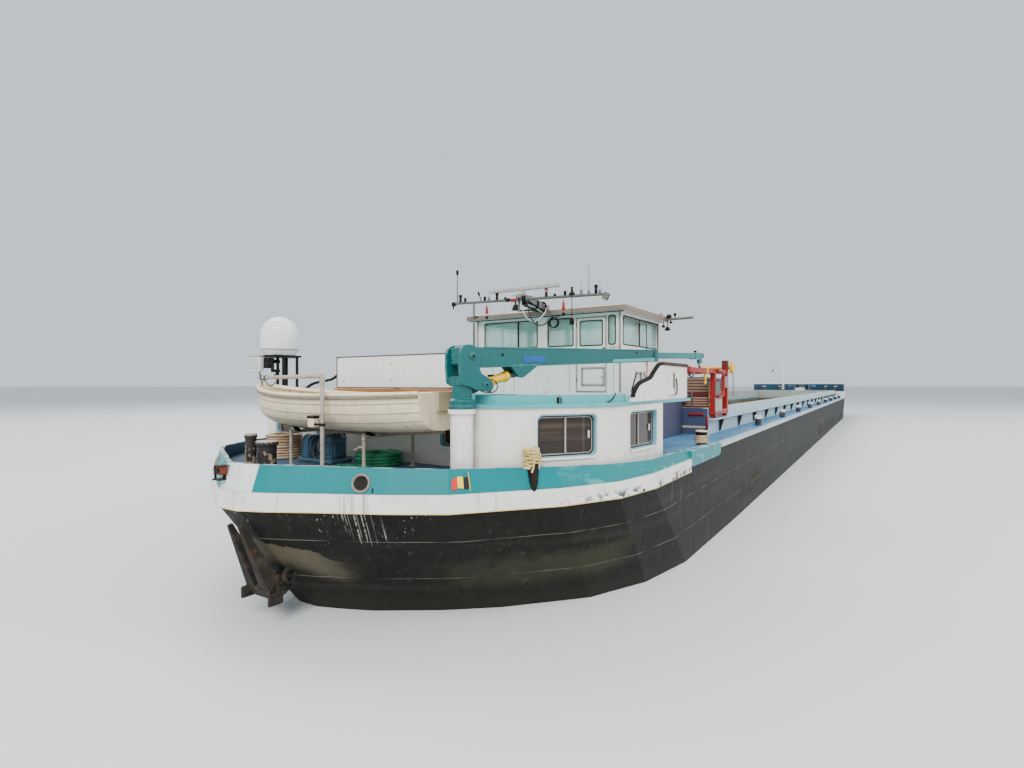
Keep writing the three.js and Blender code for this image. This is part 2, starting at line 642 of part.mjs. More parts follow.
// The telescope's slope, and a strip that follows it
const boomSlope = { x: 0.4, z: 4.6, rise: 0.0286 };

function alongBoom(from, to, half) {
  const [start, end] = [from, to].map((x) => boomSlope.z + boomSlope.rise * (x - boomSlope.x));
  return [[from, start - half], [to, end - half], [to, end + half], [from, start + half]];
}

function craneBoom() {
  const outer = sidePlate([[-0.1, 4.46], [0.35, 4.42], [crane.boomEnd, 4.6], [crane.boomEnd, 4.8],
    [0.3, 4.69], [-0.1, 4.67]], [-0.11, 0.11]);
  const bore = sidePlate(alongBoom(0.4, crane.boomEnd + 0.3, 0.065), [-0.075, 0.075]);
  const boss = bar([luffPin.x, -0.2, luffPin.z], [luffPin.x, 0.2, luffPin.z], luffPin.radius + 0.002);
  const eye = [-0.09, 0.05].map((y) => (
    sidePlate([[0.85, 4.5], [0.88, 4.3], [1.02, 4.3], [1.06, 4.5]], [y, y + 0.04])));
  const pinHeads = [-0.105, 0.075].map((y) => (
    bar([cylinderEye.x, y, cylinderEye.z], [cylinderEye.x, y + 0.03, cylinderEye.z], 0.03)));
  return onCrane(unite(cut(outer, bore, boss), eye, pinHeads));
}

function craneExtension() {
  const inner = sidePlate(alongBoom(1.3, crane.reachEnd, 0.053), [-0.064, 0.064]);
  const under = cut(inner, sidePlate([[5.3, 4.6], [5.8, 4.6], [5.8, 4.75]], [-0.1, 0.1]));
  const tip = unite(
    sidePlate([[5.5, 4.74], [5.74, 4.72], [5.74, 4.79], [5.5, 4.8]], [-0.03, 0.03]),
    bar([5.69, 0, 4.76], [5.69, 0, 4.66], 0.012, 0.012, 8),
    block([5.64, 5.73], [-0.035, 0.035], [4.605, 4.68]));
  return onCrane(unite(under, tip));
}

function luffAxis(distance) {
  const dx = cylinderEye.x - cylinderFoot.x;
  const dz = cylinderEye.z - cylinderFoot.z;
  const length = Math.hypot(dx, dz);
  return [cylinderFoot.x + dx / length * distance, 0, cylinderFoot.z + dz / length * distance];
}

function luffBarrel() {
  const across = (half, radius) => bar([cylinderFoot.x, -half, cylinderFoot.z],
    [cylinderFoot.x, half, cylinderFoot.z], radius, radius, 16);
  const tube = cut(bar(luffAxis(0.045), luffAxis(0.52), 0.065, 0.065, 16),
    bar(luffAxis(0.14), luffAxis(0.6), 0.036, 0.036, 16));
  return onCrane(cut(unite(tube, across(0.05, 0.06)), across(0.1, 0.0275)));
}

function luffRod() {
  const eyeAt = [cylinderEye.x, cylinderEye.z];
  const head = bar([eyeAt[0], -0.036, eyeAt[1]], [eyeAt[0], 0.036, eyeAt[1]], 0.045, 0.045, 16);
  const rod = bar(luffAxis(0.16), luffAxis(0.68), 0.03, 0.03, 16);
  return onCrane(unite(head, rod));
}

// Aft deck gear
function bollard([x, y], foot, radius, height, sides = 14) {
  return turned([[0, 0], [radius * 1.25, 0], [radius * 1.25, 0.03], [radius, 0.04], [radius, height - 0.06],
    [radius * 1.15, height - 0.05], [radius * 1.15, height], [0, height]], [x, y, foot + gap], sides);
}

function aftBollards() {
  const strap = block([0.7, 0.8], [0.26, 0.68], [level.aftDeck + gap, level.aftDeck + 0.02]);
  return unite(strap, bollard([0.76, 0.26], level.aftDeck, 0.13, 0.49),
    bollard([0.78, 0.68], level.aftDeck, 0.078, 0.57));
}

const winch = { x: 2.2, z: 3.17, low: 0.42, high: 1.27 };

function aftWinch() {
  const deck = level.aftDeck + gap;
  const { x, z, low, high } = winch;
  return unite(
    block([x - 0.2, x + 0.25], [low, high], [deck, deck + 0.08]),
    block([x - 0.18, x + 0.1], [high - 0.26, high - 0.06], [deck, 3.35]),
    block([x - 0.15, x + 0.2], [low + 0.03, low + 0.28], [deck, 3.33]),
    bar([x, low + 0.2, z], [x, high - 0.1, z], 0.1, 0.1, 14),
    bar([x, low + 0.3, z], [x, low + 0.35, z], 0.18, 0.18, 14),
    bar([x, high - 0.32, z], [x, high - 0.27, z], 0.18, 0.18, 14));
}

// Davit: a post with a boom that reaches over the boat's stem
const davit = { foot: [1.1, -0.5], end: [1.9, 2.13], z: 4.31, radius: 0.03 };

function davitFrame() {
  const [x, y] = davit.foot;
  return unite(
    bar([x, y, level.aftDeck + gap], [x, y, davit.z + 0.03], davit.radius),
    bar([x, y, davit.z], [...davit.end, davit.z], davit.radius));
}

// Rope coils lying on the aft deck: the outer shape of each coil
const coils = [
  { name: 'rope_coil_green', at: [2.45, -0.18], outer: 0.4, inner: 0.16, height: 0.24 },
  { name: 'rope_coil_brown', at: [2.2, 1.9], outer: 0.32, inner: 0.17, height: 0.46 },
];

function coilSolid({ at: [x, y], outer, inner, height }) {
  const foot = level.aftDeck + gap;
  return cut(turned([[0, 0], [outer, 0], [outer, height], [0, height]], [x, y, foot], 20),
    turned([[0, -0.1], [inner, -0.1], [inner, height + 0.1], [0, height + 0.1]], [x, y, foot], 20));
}

// Stern anchor in front of the raked plates
function sternAnchor() {
  const crown = sidePlate([[0.44, 1.46], [0.56, 1.3], [0.78, 1.42], [0.76, 1.56], [0.58, 1.66]], [-0.26, 0.26]);
  const arms = [-1, 1].map((side) => spread([
    [0.44, side * 0.06, 1.48], [0.58, side * 0.06, 1.62], [0.44, side * 0.25, 1.48], [0.58, side * 0.25, 1.62],
    [0.1, side * 0.1, 2.36], [0.16, side * 0.1, 2.38], [0.1, side * 0.14, 2.36], [0.16, side * 0.14, 2.38]]));
  const shank = cut(bar([0.66, 0, 1.5], [1.0, 0, 1.66], 0.06, 0.06, 10),
    sternBody(level.bandFoot).translate([-2 * gap, 0, 0]));
  return unite(crown, arms, shank);
}

// Propeller in its ring, with two rudders behind it
const screw = { x: 3.55, radius: 0.6, hub: 0.13 };

function propeller() {
  const hub = unite(
    bar([screw.x - 0.28, 0, shaftHeight], [screw.x - 0.14, 0, shaftHeight], 0.05, screw.hub, 16),
    bar([screw.x - 0.141, 0, shaftHeight], [screw.x + 0.15, 0, shaftHeight], screw.hub, screw.hub, 16));
  const blades = [0, 90, 180, 270].map((angle) => {
    const outline = shapeOf([[-0.1, 0.05], [0.1, 0.05], [0.22, 0.35], [0.17, 0.55], [0, screw.radius - 0.01],
      [-0.17, 0.55], [-0.22, 0.35]]);
    const geometry = new THREE.ExtrudeGeometry(outline, { depth: 0.03, bevelEnabled: false });
    geometry.translate(0, 0, -0.015);
    geometry.rotateY(THREE.MathUtils.degToRad(38));
    geometry.rotateX(Math.PI / 2);
    return toSolid(geometry).rotate([0, 0, 90]).rotate([angle + 20, 0, 0])
      .translate([screw.x, 0, shaftHeight]);
  });
  return unite(hub, blades);
}

function shaftLine() {
  const clear = bar([screw.x + 0.16, 0, shaftHeight], [7.0, 0, shaftHeight], 0.07, 0.07, 14);
  const ringOuter = bar([screw.x - 0.3, 0, shaftHeight], [screw.x + 0.35, 0, shaftHeight], 0.71, 0.76, 28);
  const ringInner = bar([screw.x - 0.4, 0, shaftHeight], [screw.x + 0.45, 0, shaftHeight], 0.625, 0.64, 28);
  const strut = block([screw.x - 0.2, screw.x + 0.3], [-0.05, 0.05], [shaftHeight + 0.66, 1.7]);
  const boss = bar([4.1, 0, shaftHeight], [4.5, 0, shaftHeight], 0.12, 0.12, 14);
  const bracket = block([screw.x, 4.4], [-0.04, 0.04], [shaftHeight + 0.72, 1.7])
    .add(block([4.15, 4.4], [-0.04, 0.04], [shaftHeight + 0.05, 1.7]));
  return cut(unite(cut(ringOuter, ringInner), strut, clear, boss, bracket), hullSkinTool());
}

// What the hull fills, a hair larger, so pieces that reach into it stop at its skin
function hullSkinTool() {
  const body = sternBody(level.bandFoot);
  return cut(body, tunnelTool().translate([0, 0, -gap]));
}

const rudderStock = { x: 2.7, y: 0.34, top: 1.38 };

function rudder(y) {
  const blade = planPlate([[2.25, -0.012], [2.55, -0.045], [2.85, -0.04], [2.95, 0], [2.85, 0.04],
    [2.55, 0.045], [2.25, 0.012]], [0.16, 1.0]);
  const stock = bar([rudderStock.x, 0, 0.9], [rudderStock.x, 0, rudderStock.top], 0.045);
  return unite(blade, stock).translate([0, y, 0]);
}

// Hatch covers stacked on the coaming, crowned at the middle
const stack = { aft: 10.9, fore: 13.2, half: 3.3, foot: 3.6, count: 7, pitch: 0.115 };

function hatchCovers() {
  const covers = [];
  for (let i = 0; i < stack.count; i += 1) {
    const z = stack.foot + gap + i * stack.pitch;
    covers.push(crossPlate([[-stack.half, z], [stack.half, z], [stack.half, z + 0.05], [0, z + 0.1],
      [-stack.half, z + 0.05]], [stack.aft + 0.02 * (i % 2), stack.fore]));
  }
  const posts = pair(block([stack.aft + 0.1, stack.fore - 0.1], [-stack.half + 0.1, -stack.half + 0.3],
    [stack.foot + gap, stack.foot + stack.count * stack.pitch - 0.04]));
  const spine = block([stack.aft + 0.1, stack.fore - 0.1], [-0.2, 0.2],
    [stack.foot + gap, stack.foot + stack.count * stack.pitch - 0.02]);
  return unite(covers, posts, spine);
}

// Travelling gantry that lifts the covers, on the coaming's flanges. Its side beams reach aft
// past the wheelhouse.
const gantry = { reach: 8.3, aft: 10.5, fore: 11.94, outer: 3.56, inner: 3.44, beam: 4.47, top: 4.57 };

function gantryFrame() {
  const y = [-gantry.outer, -gantry.inner];
  const foot = level.flange + 0.012;
  const legs = unite(
    block([gantry.aft, gantry.aft + 0.13], y, [foot + 0.1, gantry.top - 0.02]),
    block([gantry.fore - 0.14, gantry.fore], y, [foot + 0.1, gantry.top]),
    block([gantry.fore - 0.16, gantry.fore], [y[0] - 0.01, y[1]], [gantry.beam, gantry.top + 0.25]));
  const rail = block([gantry.aft, gantry.fore], y, [foot + 0.08, foot + 0.2]);
  const head = block([gantry.reach, gantry.fore], y, [gantry.beam, gantry.top]);
  const brace = sidePlate([[gantry.aft + 0.06, foot + 0.18], [gantry.aft + 0.18, foot + 0.18],
    [gantry.fore - 0.06, gantry.beam + 0.04], [gantry.fore - 0.18, gantry.beam + 0.04]],
  [y[0] + 0.03, y[1] - 0.03]);
  const wheels = [gantry.aft + 0.12, gantry.fore - 0.14].map((x) => (
    bar([x, y[0], foot + 0.085], [x, y[1], foot + 0.085], 0.085, 0.085, 14)));
  const beams = [stack.aft + 0.02, gantry.fore - 0.14].map((x) => (
    block([x, x + 0.14], [y[0] + 0.02, -y[0] - 0.02], [gantry.beam, gantry.top])));
  const middle = [-1.6, 1.6].map((side) => (
    block([stack.aft + 0.1, gantry.fore - 0.1], [side - 0.06, side + 0.06],
      [gantry.beam + 0.01, gantry.top - 0.01])));
  return unite(pair(unite(legs, rail, head, brace, wheels)), beams, middle);
}

// A shaft across the gantry with a sheave at each side and its motor in the middle
function gantryHoist() {
  const face = gantry.fore + gap;
  const shaft = { x: face + 0.12, z: gantry.top + 0.07 };
  const bearing = block([face, shaft.x + 0.05], [-gantry.outer + 0.02, -gantry.inner - 0.02],
    [shaft.z - 0.06, shaft.z + 0.06]);
  const sheave = bar([shaft.x, -3.68, shaft.z], [shaft.x, -3.6, shaft.z], 0.15, 0.15, 20);
  return unite(
    block([face, face + 0.3], [-0.4, 0.4], [gantry.beam + 0.02, gantry.top + 0.2]),
    bar([shaft.x, -3.65, shaft.z], [shaft.x, 3.65, shaft.z], 0.035),
    pair(unite(bearing, sheave)));
}

// Fore deck gear

function bowWinch() {
  const deck = foredeck.deck + gap;
  return unite(
    block([63.2, 64.3], [-0.9, 0.9], [deck, deck + 0.1]),
    [-0.75, -0.05, 0.65].map((y) => block([63.4, 64.1], [y, y + 0.1], [deck + 0.05, deck + 0.65])),
    bar([63.75, -1.1, deck + 0.45], [63.75, 1.1, deck + 0.45], 0.09, 0.09, 14),
    [-0.45, 0.4].map((y) => (
      bar([63.75, y - 0.16, deck + 0.45], [63.75, y + 0.16, deck + 0.45], 0.22, 0.22, 16))),
    [-1.15, 1.0].map((y) => bar([63.75, y, deck + 0.45], [63.75, y + 0.15, deck + 0.45], 0.16, 0.16, 14)));
}

const foremast = { x: 60.0, y: 1.35, foot: 3.5, pin: 3.95, top: 6.5 };

function mastStep() {
  const { x, y, pin } = foremast;
  const foot = foremast.foot + gap;
  return unite(
    block([x - 0.2, x + 0.2], [y - 0.25, y + 0.25], [foot, foot + 0.06]),
    [y - 0.16, y + 0.1].map((side) => (
      block([x - 0.12, x + 0.12], [side, side + 0.06], [foot + 0.05, pin + 0.12]))),
    bar([x, y - 0.2, pin], [x, y + 0.2, pin], 0.03));
}

function foremastPole() {
  const { x, y, pin, top } = foremast;
  const hole = bar([x, y - 0.3, pin], [x, y + 0.3, pin], 0.032);
  const heel = block([x - 0.08, x + 0.08], [y - 0.085, y + 0.085], [3.66, 4.15]);
  return unite(
    cut(heel, hole),
    bar([x, y, 4.14], [x, y, top], 0.07, 0.04),
    bar([x, y - 1.2, 5.95], [x, y + 1.2, 5.95], 0.03),
    [-1.14, 1.14].map((side) => bar([x, y + side, 5.93], [x, y + side, 6.13], 0.06)),
    bar([x + 0.02, y, 6.3], [x + 0.18, y, 6.3], 0.06),
  );
}

const foreHatch = { x: 62.0, half: 0.4, foot: 3.5, top: 3.78 };

function hatchTrunk() {
  const { x, half } = foreHatch;
  return cut(block([x - half, x + half], [-half, half], [foreHatch.foot + gap, foreHatch.top]),
    block([x - half + 0.05, x + half - 0.05], [-half + 0.05, half - 0.05], [foreHatch.foot + 0.04, 4]));
}

function hatchLid() {
  const { x, half, top } = foreHatch;
  return unite(
    block([x - half - 0.03, x + half + 0.03], [-half - 0.03, half + 0.03], [top + gap, top + 0.05]),
    bar([x + half - 0.1, -0.1, top + 0.09], [x + half - 0.1, 0.1, top + 0.09], 0.015),
    [-0.1, 0.1].map((y) => bar([x + half - 0.1, y, top + 0.04], [x + half - 0.1, y, top + 0.1], 0.015)));
}

function bowAnchor() {
  const anchor = unite(
    block([-0.06, 0.0], [-0.06, 0.06], [-0.8, 0.1]),
    block([-0.12, 0.0], [-0.34, 0.34], [-0.9, -0.76]),
    [-0.34, 0.24].map((y) => block([-0.12, -0.02], [y, y + 0.1], [-0.8, -0.35])));
  return anchor.rotate([0, 0, 180 - 39]).translate([65.42, -2.42, 3.35]);
}

// Paint and metal; columns: colour, roughness, metalness
const finishes = {
  hullBlack: [0x2b2b29, 0.7, 0.1],
  white: [0xd6d1c9, 0.5, 0],
  teal: [0x0a9ea2, 0.4, 0],
  aqua: [0x79c6ca, 0.45, 0],
  deckBlue: [0x3f80a5, 0.6, 0],
  deckDark: [0x30404c, 0.75, 0],
  paleBlue: [0x93abb6, 0.6, 0],
  greyGreen: [0x7d8a80, 0.8, 0],
  glass: [0x9fc4b8, 0.1, 0],
  darkGlass: [0x27302e, 0.15, 0],
  steel: [0x8d9194, 0.45, 0.8],
  black: [0x191a1b, 0.6, 0.1],
  cream: [0xd8cdb8, 0.5, 0],
  wood: [0x6f4c31, 0.7, 0],
  winchBlue: [0x2f5a78, 0.5, 0.1],
  rust: [0x6b4a38, 0.85, 0.2],
  bronze: [0xa07a3c, 0.4, 0.9],
  red: [0xc02a22, 0.5, 0],
  tan: [0xa89a82, 0.7, 0],
  yellow: [0xe2b21c, 0.45, 0],
  craneTeal: [0x0b8a8c, 0.4, 0],
  green: [0x2f6a4a, 0.8, 0],
  brown: [0x8a6f52, 0.8, 0],
};

// Node, solid, finish
const pieces = [
  ['hull_aft', hullAft(), 'hullBlack'],
  ['hull_mid', hullMid(), 'hullBlack'],
  ['hull_fore', hullFore(), 'hullBlack'],
  ['stern_band', sternBand(), 'white'],
  ['aft_deck', aftDeck(), 'deckDark'],
  ['side_decks', sideDecks(), 'deckBlue'],
  ['bulwark_aft', bulwarkAft(), 'teal'],
  ['forecastle', forecastle(), 'teal'],
  ['bulwark_fore', bulwarkFore(), 'teal'],
  ['coaming', coaming(), 'paleBlue'],
  ['hold_floor', holdFloor(), 'greyGreen'],
  ['house_walls', houseWalls(), 'white'],
  ['house_glass', houseGlass(), 'darkGlass'],
  ['house_roof', houseRoof(), 'aqua'],
  ['house_door_left', houseDoor(), 'white'],
  ['house_door_right', mirrorSolid(houseDoor()), 'white'],
  ['wing_wall_left', mirrorSolid(wingWall()), 'white'],
  ['wing_wall_right', wingWall(), 'white'],
  ['bridge_walls', bridgeWalls(), 'white'],
  ['bridge_glass', bridgeGlass(), 'glass'],
  ['bridge_roof', bridgeRoof(), 'white'],
  ['bridge_door', bridgeDoorLeaf(), 'white'],
  ['helm', helm(), 'black'],
  ['radar_mast', radarMast(), 'steel'],
  ['radar_scanner', radarScanner(), 'white'],
  ['dome_stand', domeStand(), 'black'],
  ['dome', domeBall(), 'white'],
  ['ships_boat', shipsBoat(), 'cream'],
  ['boat_chocks', boatChocks(), 'black'],
  ['name_board', nameBoard(), 'wood'],
  ['crane_column', craneColumn(), 'white'],
  ['crane_head', craneHead(), 'craneTeal'],
  ['crane_boom', craneBoom(), 'craneTeal'],
  ['crane_extension', craneExtension(), 'aqua'],
  ['luff_barrel', luffBarrel(), 'yellow'],
  ['luff_rod', luffRod(), 'steel'],
  ['aft_bollards', aftBollards(), 'black'],
  ['aft_winch', aftWinch(), 'winchBlue'],
  ['davit', davitFrame(), 'steel'],
  ['stern_anchor', sternAnchor(), 'rust'],
  ['propeller', propeller(), 'bronze'],
  ['shaft_line', shaftLine(), 'hullBlack'],
  ['rudder_left', rudder(rudderStock.y), 'hullBlack'],
  ['rudder_right', rudder(-rudderStock.y), 'hullBlack'],
  ['hatch_covers', hatchCovers(), 'tan'],
  ['gantry_frame', gantryFrame(), 'red'],
  ['gantry_hoist', gantryHoist(), 'yellow'],
  ['bow_winch', bowWinch(), 'winchBlue'],
  ['mast_step', mastStep(), 'steel'],
  ['foremast', foremastPole(), 'white'],
  ['hatch_trunk', hatchTrunk(), 'deckBlue'],
  ['hatch_lid', hatchLid(), 'deckBlue'],
  ['bow_anchor_left', mirrorSolid(bowAnchor()), 'rust'],
  ['bow_anchor_right', bowAnchor(), 'rust'],
  ...coils.map((coil) => [coil.name, coilSolid(coil), coil.name.endsWith('green') ? 'green' : 'brown']),
];

// The solids become meshes on the model's scale, with the hull's middle at the origin
function meshOf([name, solid, finish]) {
  const { vertProperties, triVerts, numProp } = solid.getMesh();
  const positions = new Float32Array(vertProperties.length / numProp * 3);
  for (let i = 0; i < positions.length / 3; i += 1) {
    positions[3 * i] = (vertProperties[numProp * i] - shipLength / 2) * modelScale;
    positions[3 * i + 1] = vertProperties[numProp * i + 1] * modelScale;
    positions[3 * i + 2] = vertProperties[numProp * i + 2] * modelScale;
  }
  const geometry = new THREE.BufferGeometry();
  geometry.setAttribute('position', new THREE.BufferAttribute(positions, 3));
  geometry.setIndex(new THREE.BufferAttribute(new Uint32Array(triVerts), 1));
  const [color, roughness, metalness] = finishes[finish];
  const mesh = new THREE.Mesh(geometry, new THREE.MeshStandardMaterial({ color, roughness, metalness }));
  mesh.name = name;
  return mesh;
}

const barge = new THREE.Group();
pieces.forEach((piece) => barge.add(meshOf(piece)));

export default barge;
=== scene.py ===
import bpy
import bmesh
import math
from mathutils import Matrix, Vector


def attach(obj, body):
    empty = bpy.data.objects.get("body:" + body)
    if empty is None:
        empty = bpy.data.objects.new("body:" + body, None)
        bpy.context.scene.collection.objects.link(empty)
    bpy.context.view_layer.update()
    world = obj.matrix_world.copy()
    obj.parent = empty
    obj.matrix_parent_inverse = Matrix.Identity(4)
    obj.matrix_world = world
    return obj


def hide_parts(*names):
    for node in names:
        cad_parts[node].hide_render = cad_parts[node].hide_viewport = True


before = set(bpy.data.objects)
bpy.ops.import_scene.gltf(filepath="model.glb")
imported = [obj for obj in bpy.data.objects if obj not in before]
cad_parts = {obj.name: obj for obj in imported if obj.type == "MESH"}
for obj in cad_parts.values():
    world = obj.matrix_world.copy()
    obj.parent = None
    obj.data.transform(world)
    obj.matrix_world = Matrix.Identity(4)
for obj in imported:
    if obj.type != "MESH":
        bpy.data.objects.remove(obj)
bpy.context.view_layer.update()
print("stage: frame loaded,", len(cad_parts), "nodes")

shipLength = 67.0
modelScale = 0.5
shipToModel = Matrix.Scale(modelScale, 4) @ Matrix.Translation((-shipLength / 2, 0, 0))
waterline = 1.0
craneFrame = Matrix.Translation((1.8, -2.4, 0)) @ Matrix.Rotation(math.radians(-16.7), 4, "Z")
mirrorPort = Matrix.Diagonal((1, -1, 1, 1))
corners = ((-1, -1), (1, -1), (1, 1), (-1, 1))
planes = {  # where an outline's two columns and its thickness go
    "plan": Matrix.Identity(4),
    "side": Matrix(((1, 0, 0, 0), (0, 0, 1, 0), (0, 1, 0, 0), (0, 0, 0, 1))),
    "cross": Matrix(((0, 0, 1, 0), (1, 0, 0, 0), (0, 1, 0, 0), (0, 0, 0, 1))),
}


def inModel(x, y, z):
    return shipToModel @ Vector((x, y, z))


def placed(x, y, z, turn=0.0):
    return Matrix.Translation((x, y, z)) @ Matrix.Rotation(math.radians(turn), 4, "Z")


# Camera at the photograph's point of view
view = {"at": (-4.1, -7.0, 4.2), "heading": 32.9, "lens": 20.0}
eye = bpy.data.objects.new("viewCamera", bpy.data.cameras.new("viewCamera"))
bpy.context.scene.collection.objects.link(eye)
eye.location = inModel(*view["at"])
eye.rotation_euler = (math.radians(90), 0, math.radians(view["heading"] - 90))
eye.data.lens = view["lens"]
eye.data.sensor_width = 36.0
eye.data.clip_start = 0.05
eye.data.clip_end = 500.0
bpy.context.scene.camera = eye


# Materials
class Signal:
    # a shader socket that takes part in Python expressions
    def __init__(self, paint, socket):
        self.paint = paint
        self.socket = socket

    def __add__(self, other):
        return self.paint.calc("ADD", self, other)

    def __sub__(self, other):
        return self.paint.calc("SUBTRACT", self, other)

    def __rsub__(self, other):
        return self.paint.calc("SUBTRACT", other, self)

    def __mul__(self, other):
        return self.paint.calc("MULTIPLY", self, other)

    def __mod__(self, other):
        return self.paint.calc("FLOORED_MODULO", self, other)

    def __abs__(self):
        return self.paint.calc("ABSOLUTE", self, 0.0)

    __radd__ = __add__
    __rmul__ = __mul__


def tint(red, green, blue):
    def linear(value):
        value /= 255
        return value / 12.92 if value <= 0.04045 else ((value + 0.055) / 1.055) ** 2.4
    return (linear(red), linear(green), linear(blue), 1.0)


class Paint:
    # one material, built from Object coordinates
    def __init__(self, name, **fixed):
        self.material = bpy.data.materials.new(name)
        self.material.use_nodes = True
        self.tree = self.material.node_tree
        self.shader = self.tree.nodes["Principled BSDF"]
        for socket, value in fixed.items():
            self.shader.inputs[socket.replace("_", " ")].default_value = value
        self.where = Signal(self, self.node("ShaderNodeTexCoord").outputs["Object"])
        apart = self.node("ShaderNodeSeparateXYZ", inputs={0: self.where})
        self.x, self.y, self.z = (Signal(self, apart.outputs[i]) for i in range(3))
        self.seed = 0.0

    def node(self, kind, settings=None, inputs=None):
        made = self.tree.nodes.new(kind)
        for key, value in (settings or {}).items():
            setattr(made, key, value)
        for key, value in (inputs or {}).items():
            if isinstance(value, Signal):
                self.tree.links.new(value.socket, made.inputs[key])
            else:
                made.inputs[key].default_value = value
        return made

    def calc(self, operation, first, second):
        return Signal(self, self.node("ShaderNodeMath", {"operation": operation}, {0: first, 1: second}).outputs[0])

    def noise(self, scale, detail=3.0, stretch=(1, 1, 1), rough=0.5):
        self.seed += 3.7
        turned = self.node("ShaderNodeMapping", inputs={0: self.where, "Scale": stretch,
                                                        "Location": (self.seed, self.seed * 0.6, self.seed * 0.3)})
        made = self.node("ShaderNodeTexNoise", inputs={"Vector": Signal(self, turned.outputs[0]),
                                                       "Scale": scale, "Detail": detail, "Roughness": rough})
        return Signal(self, made.outputs[0])

    def bands(self, value, scale, detail=2.0):
        # noise along one value only
        made = self.node("ShaderNodeTexNoise", {"noise_dimensions": "1D"},
                         {"W": value, "Scale": scale, "Detail": detail})
        return Signal(self, made.outputs[0])

    def rise(self, value, low, high):
        # 0 below low, 1 above high; falls where low is the greater
        made = self.node("ShaderNodeMapRange", {"interpolation_type": "SMOOTHSTEP"},
                         {"Value": value, "From Min": min(low, high), "From Max": max(low, high),
                          "To Min": 0.0 if low < high else 1.0, "To Max": 1.0 if low < high else 0.0})
        return Signal(self, made.outputs[0])

    def pips(self, scale):
        # raised dots of chequered or sanded deck paint; where they are is 1
        made = self.node("ShaderNodeTexVoronoi", inputs={"Vector": self.where, "Scale": scale})
        return self.rise(Signal(self, made.outputs["Distance"]), 0.5, 0.1)

    def line(self, value, width):
        # a thin line where the value is zero
        return self.rise(abs(value), width, width * 0.4)

    def mix(self, share, low, high):
        made = self.node("ShaderNodeMix", {"data_type": "RGBA", "clamp_factor": True}, {0: share, 6: low, 7: high})
        return Signal(self, made.outputs[2])

    def edges(self, radius):
        # 1 along the solid's edges, and the normal rounded over them
        rounded = self.node("ShaderNodeBevel", {"samples": 4}, {"Radius": radius})
        plain = self.node("ShaderNodeNewGeometry")
        dot = self.node("ShaderNodeVectorMath", {"operation": "DOT_PRODUCT"},
                        {0: Signal(self, rounded.outputs[0]), 1: Signal(self, plain.outputs["Normal"])})
        return self.rise(Signal(self, dot.outputs["Value"]), 0.985, 0.9), Signal(self, rounded.outputs[0])

    def facing(self):
        plain = self.node("ShaderNodeNewGeometry")
        apart = self.node("ShaderNodeSeparateXYZ", inputs={0: Signal(self, plain.outputs["Normal"])})
        return [Signal(self, apart.outputs[i]) for i in range(3)]

    def finish(self, colour, rough, height=None, depth=0.004, normal=None):
        for socket, value in (("Base Color", colour), ("Roughness", rough)):
            if isinstance(value, Signal):
                self.tree.links.new(value.socket, self.shader.inputs[socket])
            else:
                self.shader.inputs[socket].default_value = value
        if height is not None:
            bump = self.node("ShaderNodeBump", inputs={"Height": height, "Distance": depth, "Strength": 1.0})
            if normal is not None:
                self.tree.links.new(normal.socket, bump.inputs["Normal"])
            self.tree.links.new(bump.outputs[0], self.shader.inputs["Normal"])
        return self.material


rustColour = tint(112, 58, 30)
rustRun = tint(134, 86, 52)
grimeColour = tint(78, 70, 58)


def weather(paint, colour, look):
    # ageing that every painted piece shares: fading, grime, streaks down, rust specks and worn edges; where the wear
    # tint is lighter than the paint, the worn edges also carry a painted highlight
    cloud = paint.noise(0.9, 4.0)
    colour = paint.mix(paint.rise(cloud, 0.3, 0.7) * look.get("fade", 0.35), colour, look["pale"])
    colour = paint.mix(paint.rise(paint.noise(14.0, 5.0), 0.42, 0.75) * look.get("mottle", 0.16), colour, grimeColour)
    down = paint.noise(1.0, 3.0, (26, 26, 1.6))
    patch = paint.noise(1.7, 2.0)
    streak = paint.rise(down, 0.55, 0.8) * paint.rise(patch, 0.42, 0.66)
    colour = paint.mix(streak * look.get("streak", 0.3), colour, look.get("streakTint", grimeColour))
    speck = paint.rise(paint.noise(look.get("speckScale", 42.0), 2.0), 0.77 - look.get("rust", 0.3) * 0.12, 0.8)
    run = paint.rise(paint.noise(1.0, 2.0, (34, 34, 1.1)), 0.68, 0.82) * paint.rise(patch, 0.5, 0.62)
    colour = paint.mix(run * look.get("rust", 0.3), colour, rustRun)
    colour = paint.mix(speck * min(1.0, look.get("rust", 0.3) * 2.4), colour, rustColour)
    # worn edges take the wear tint; where that tint is lighter than the paint, as on the crane and the dark finishes,
    # it is also a painted edge highlight
    edge, rounded = paint.edges(look.get("edge", 0.006))
    edgeWearAndHighlight = edge * paint.rise(paint.noise(30.0, 3.0), 0.4, 0.62)
    colour = paint.mix(edgeWearAndHighlight * look.get("wear", 0.4), colour, look.get("under", rustColour))
    rough = look.get("rough", 0.45) + cloud * 0.12 + speck * 0.3 + streak * 0.15
    height = paint.noise(5.0, 2.0) * look.get("dents", 0.5) + paint.noise(120.0, 2.0) * 0.06
    height = height - speck * 0.25 - edgeWearAndHighlight * 0.1
    return colour, rough, height, rounded


def paintedPlate(name, look):
    paint = Paint(name, Metallic=look.get("metal", 0.0), Coat_Weight=look.get("coat", 0.0),
                  Specular_IOR_Level=look.get("gloss", 0.3))
    colour = look["colour"]
    if "upper" in look:  # a second colour above a height, with a ragged border
        border = paint.z + (paint.noise(22.0, 3.0) - 0.5) * look.get("ragged", 0.02)
        colour = paint.mix(paint.rise(border, look["upperFrom"], look["upperFrom"] + 0.004), colour, look["upper"])
    if "chipsBelow" in look:
        chips = paint.rise(paint.noise(26.0, 4.0) + (look["chipsBelow"] - paint.z) * 1.2, 0.56, 0.62)
        colour = paint.mix(chips * 0.85, colour, tint(176, 152, 122))
    colour, rough, height, rounded = weather(paint, colour, look)
    if "grip" in look:
        height = height + paint.pips(look["grip"]) * 0.3
        rough = rough + 0.1
    return paint.finish(colour, rough, height, look.get("depth", 0.003), rounded)


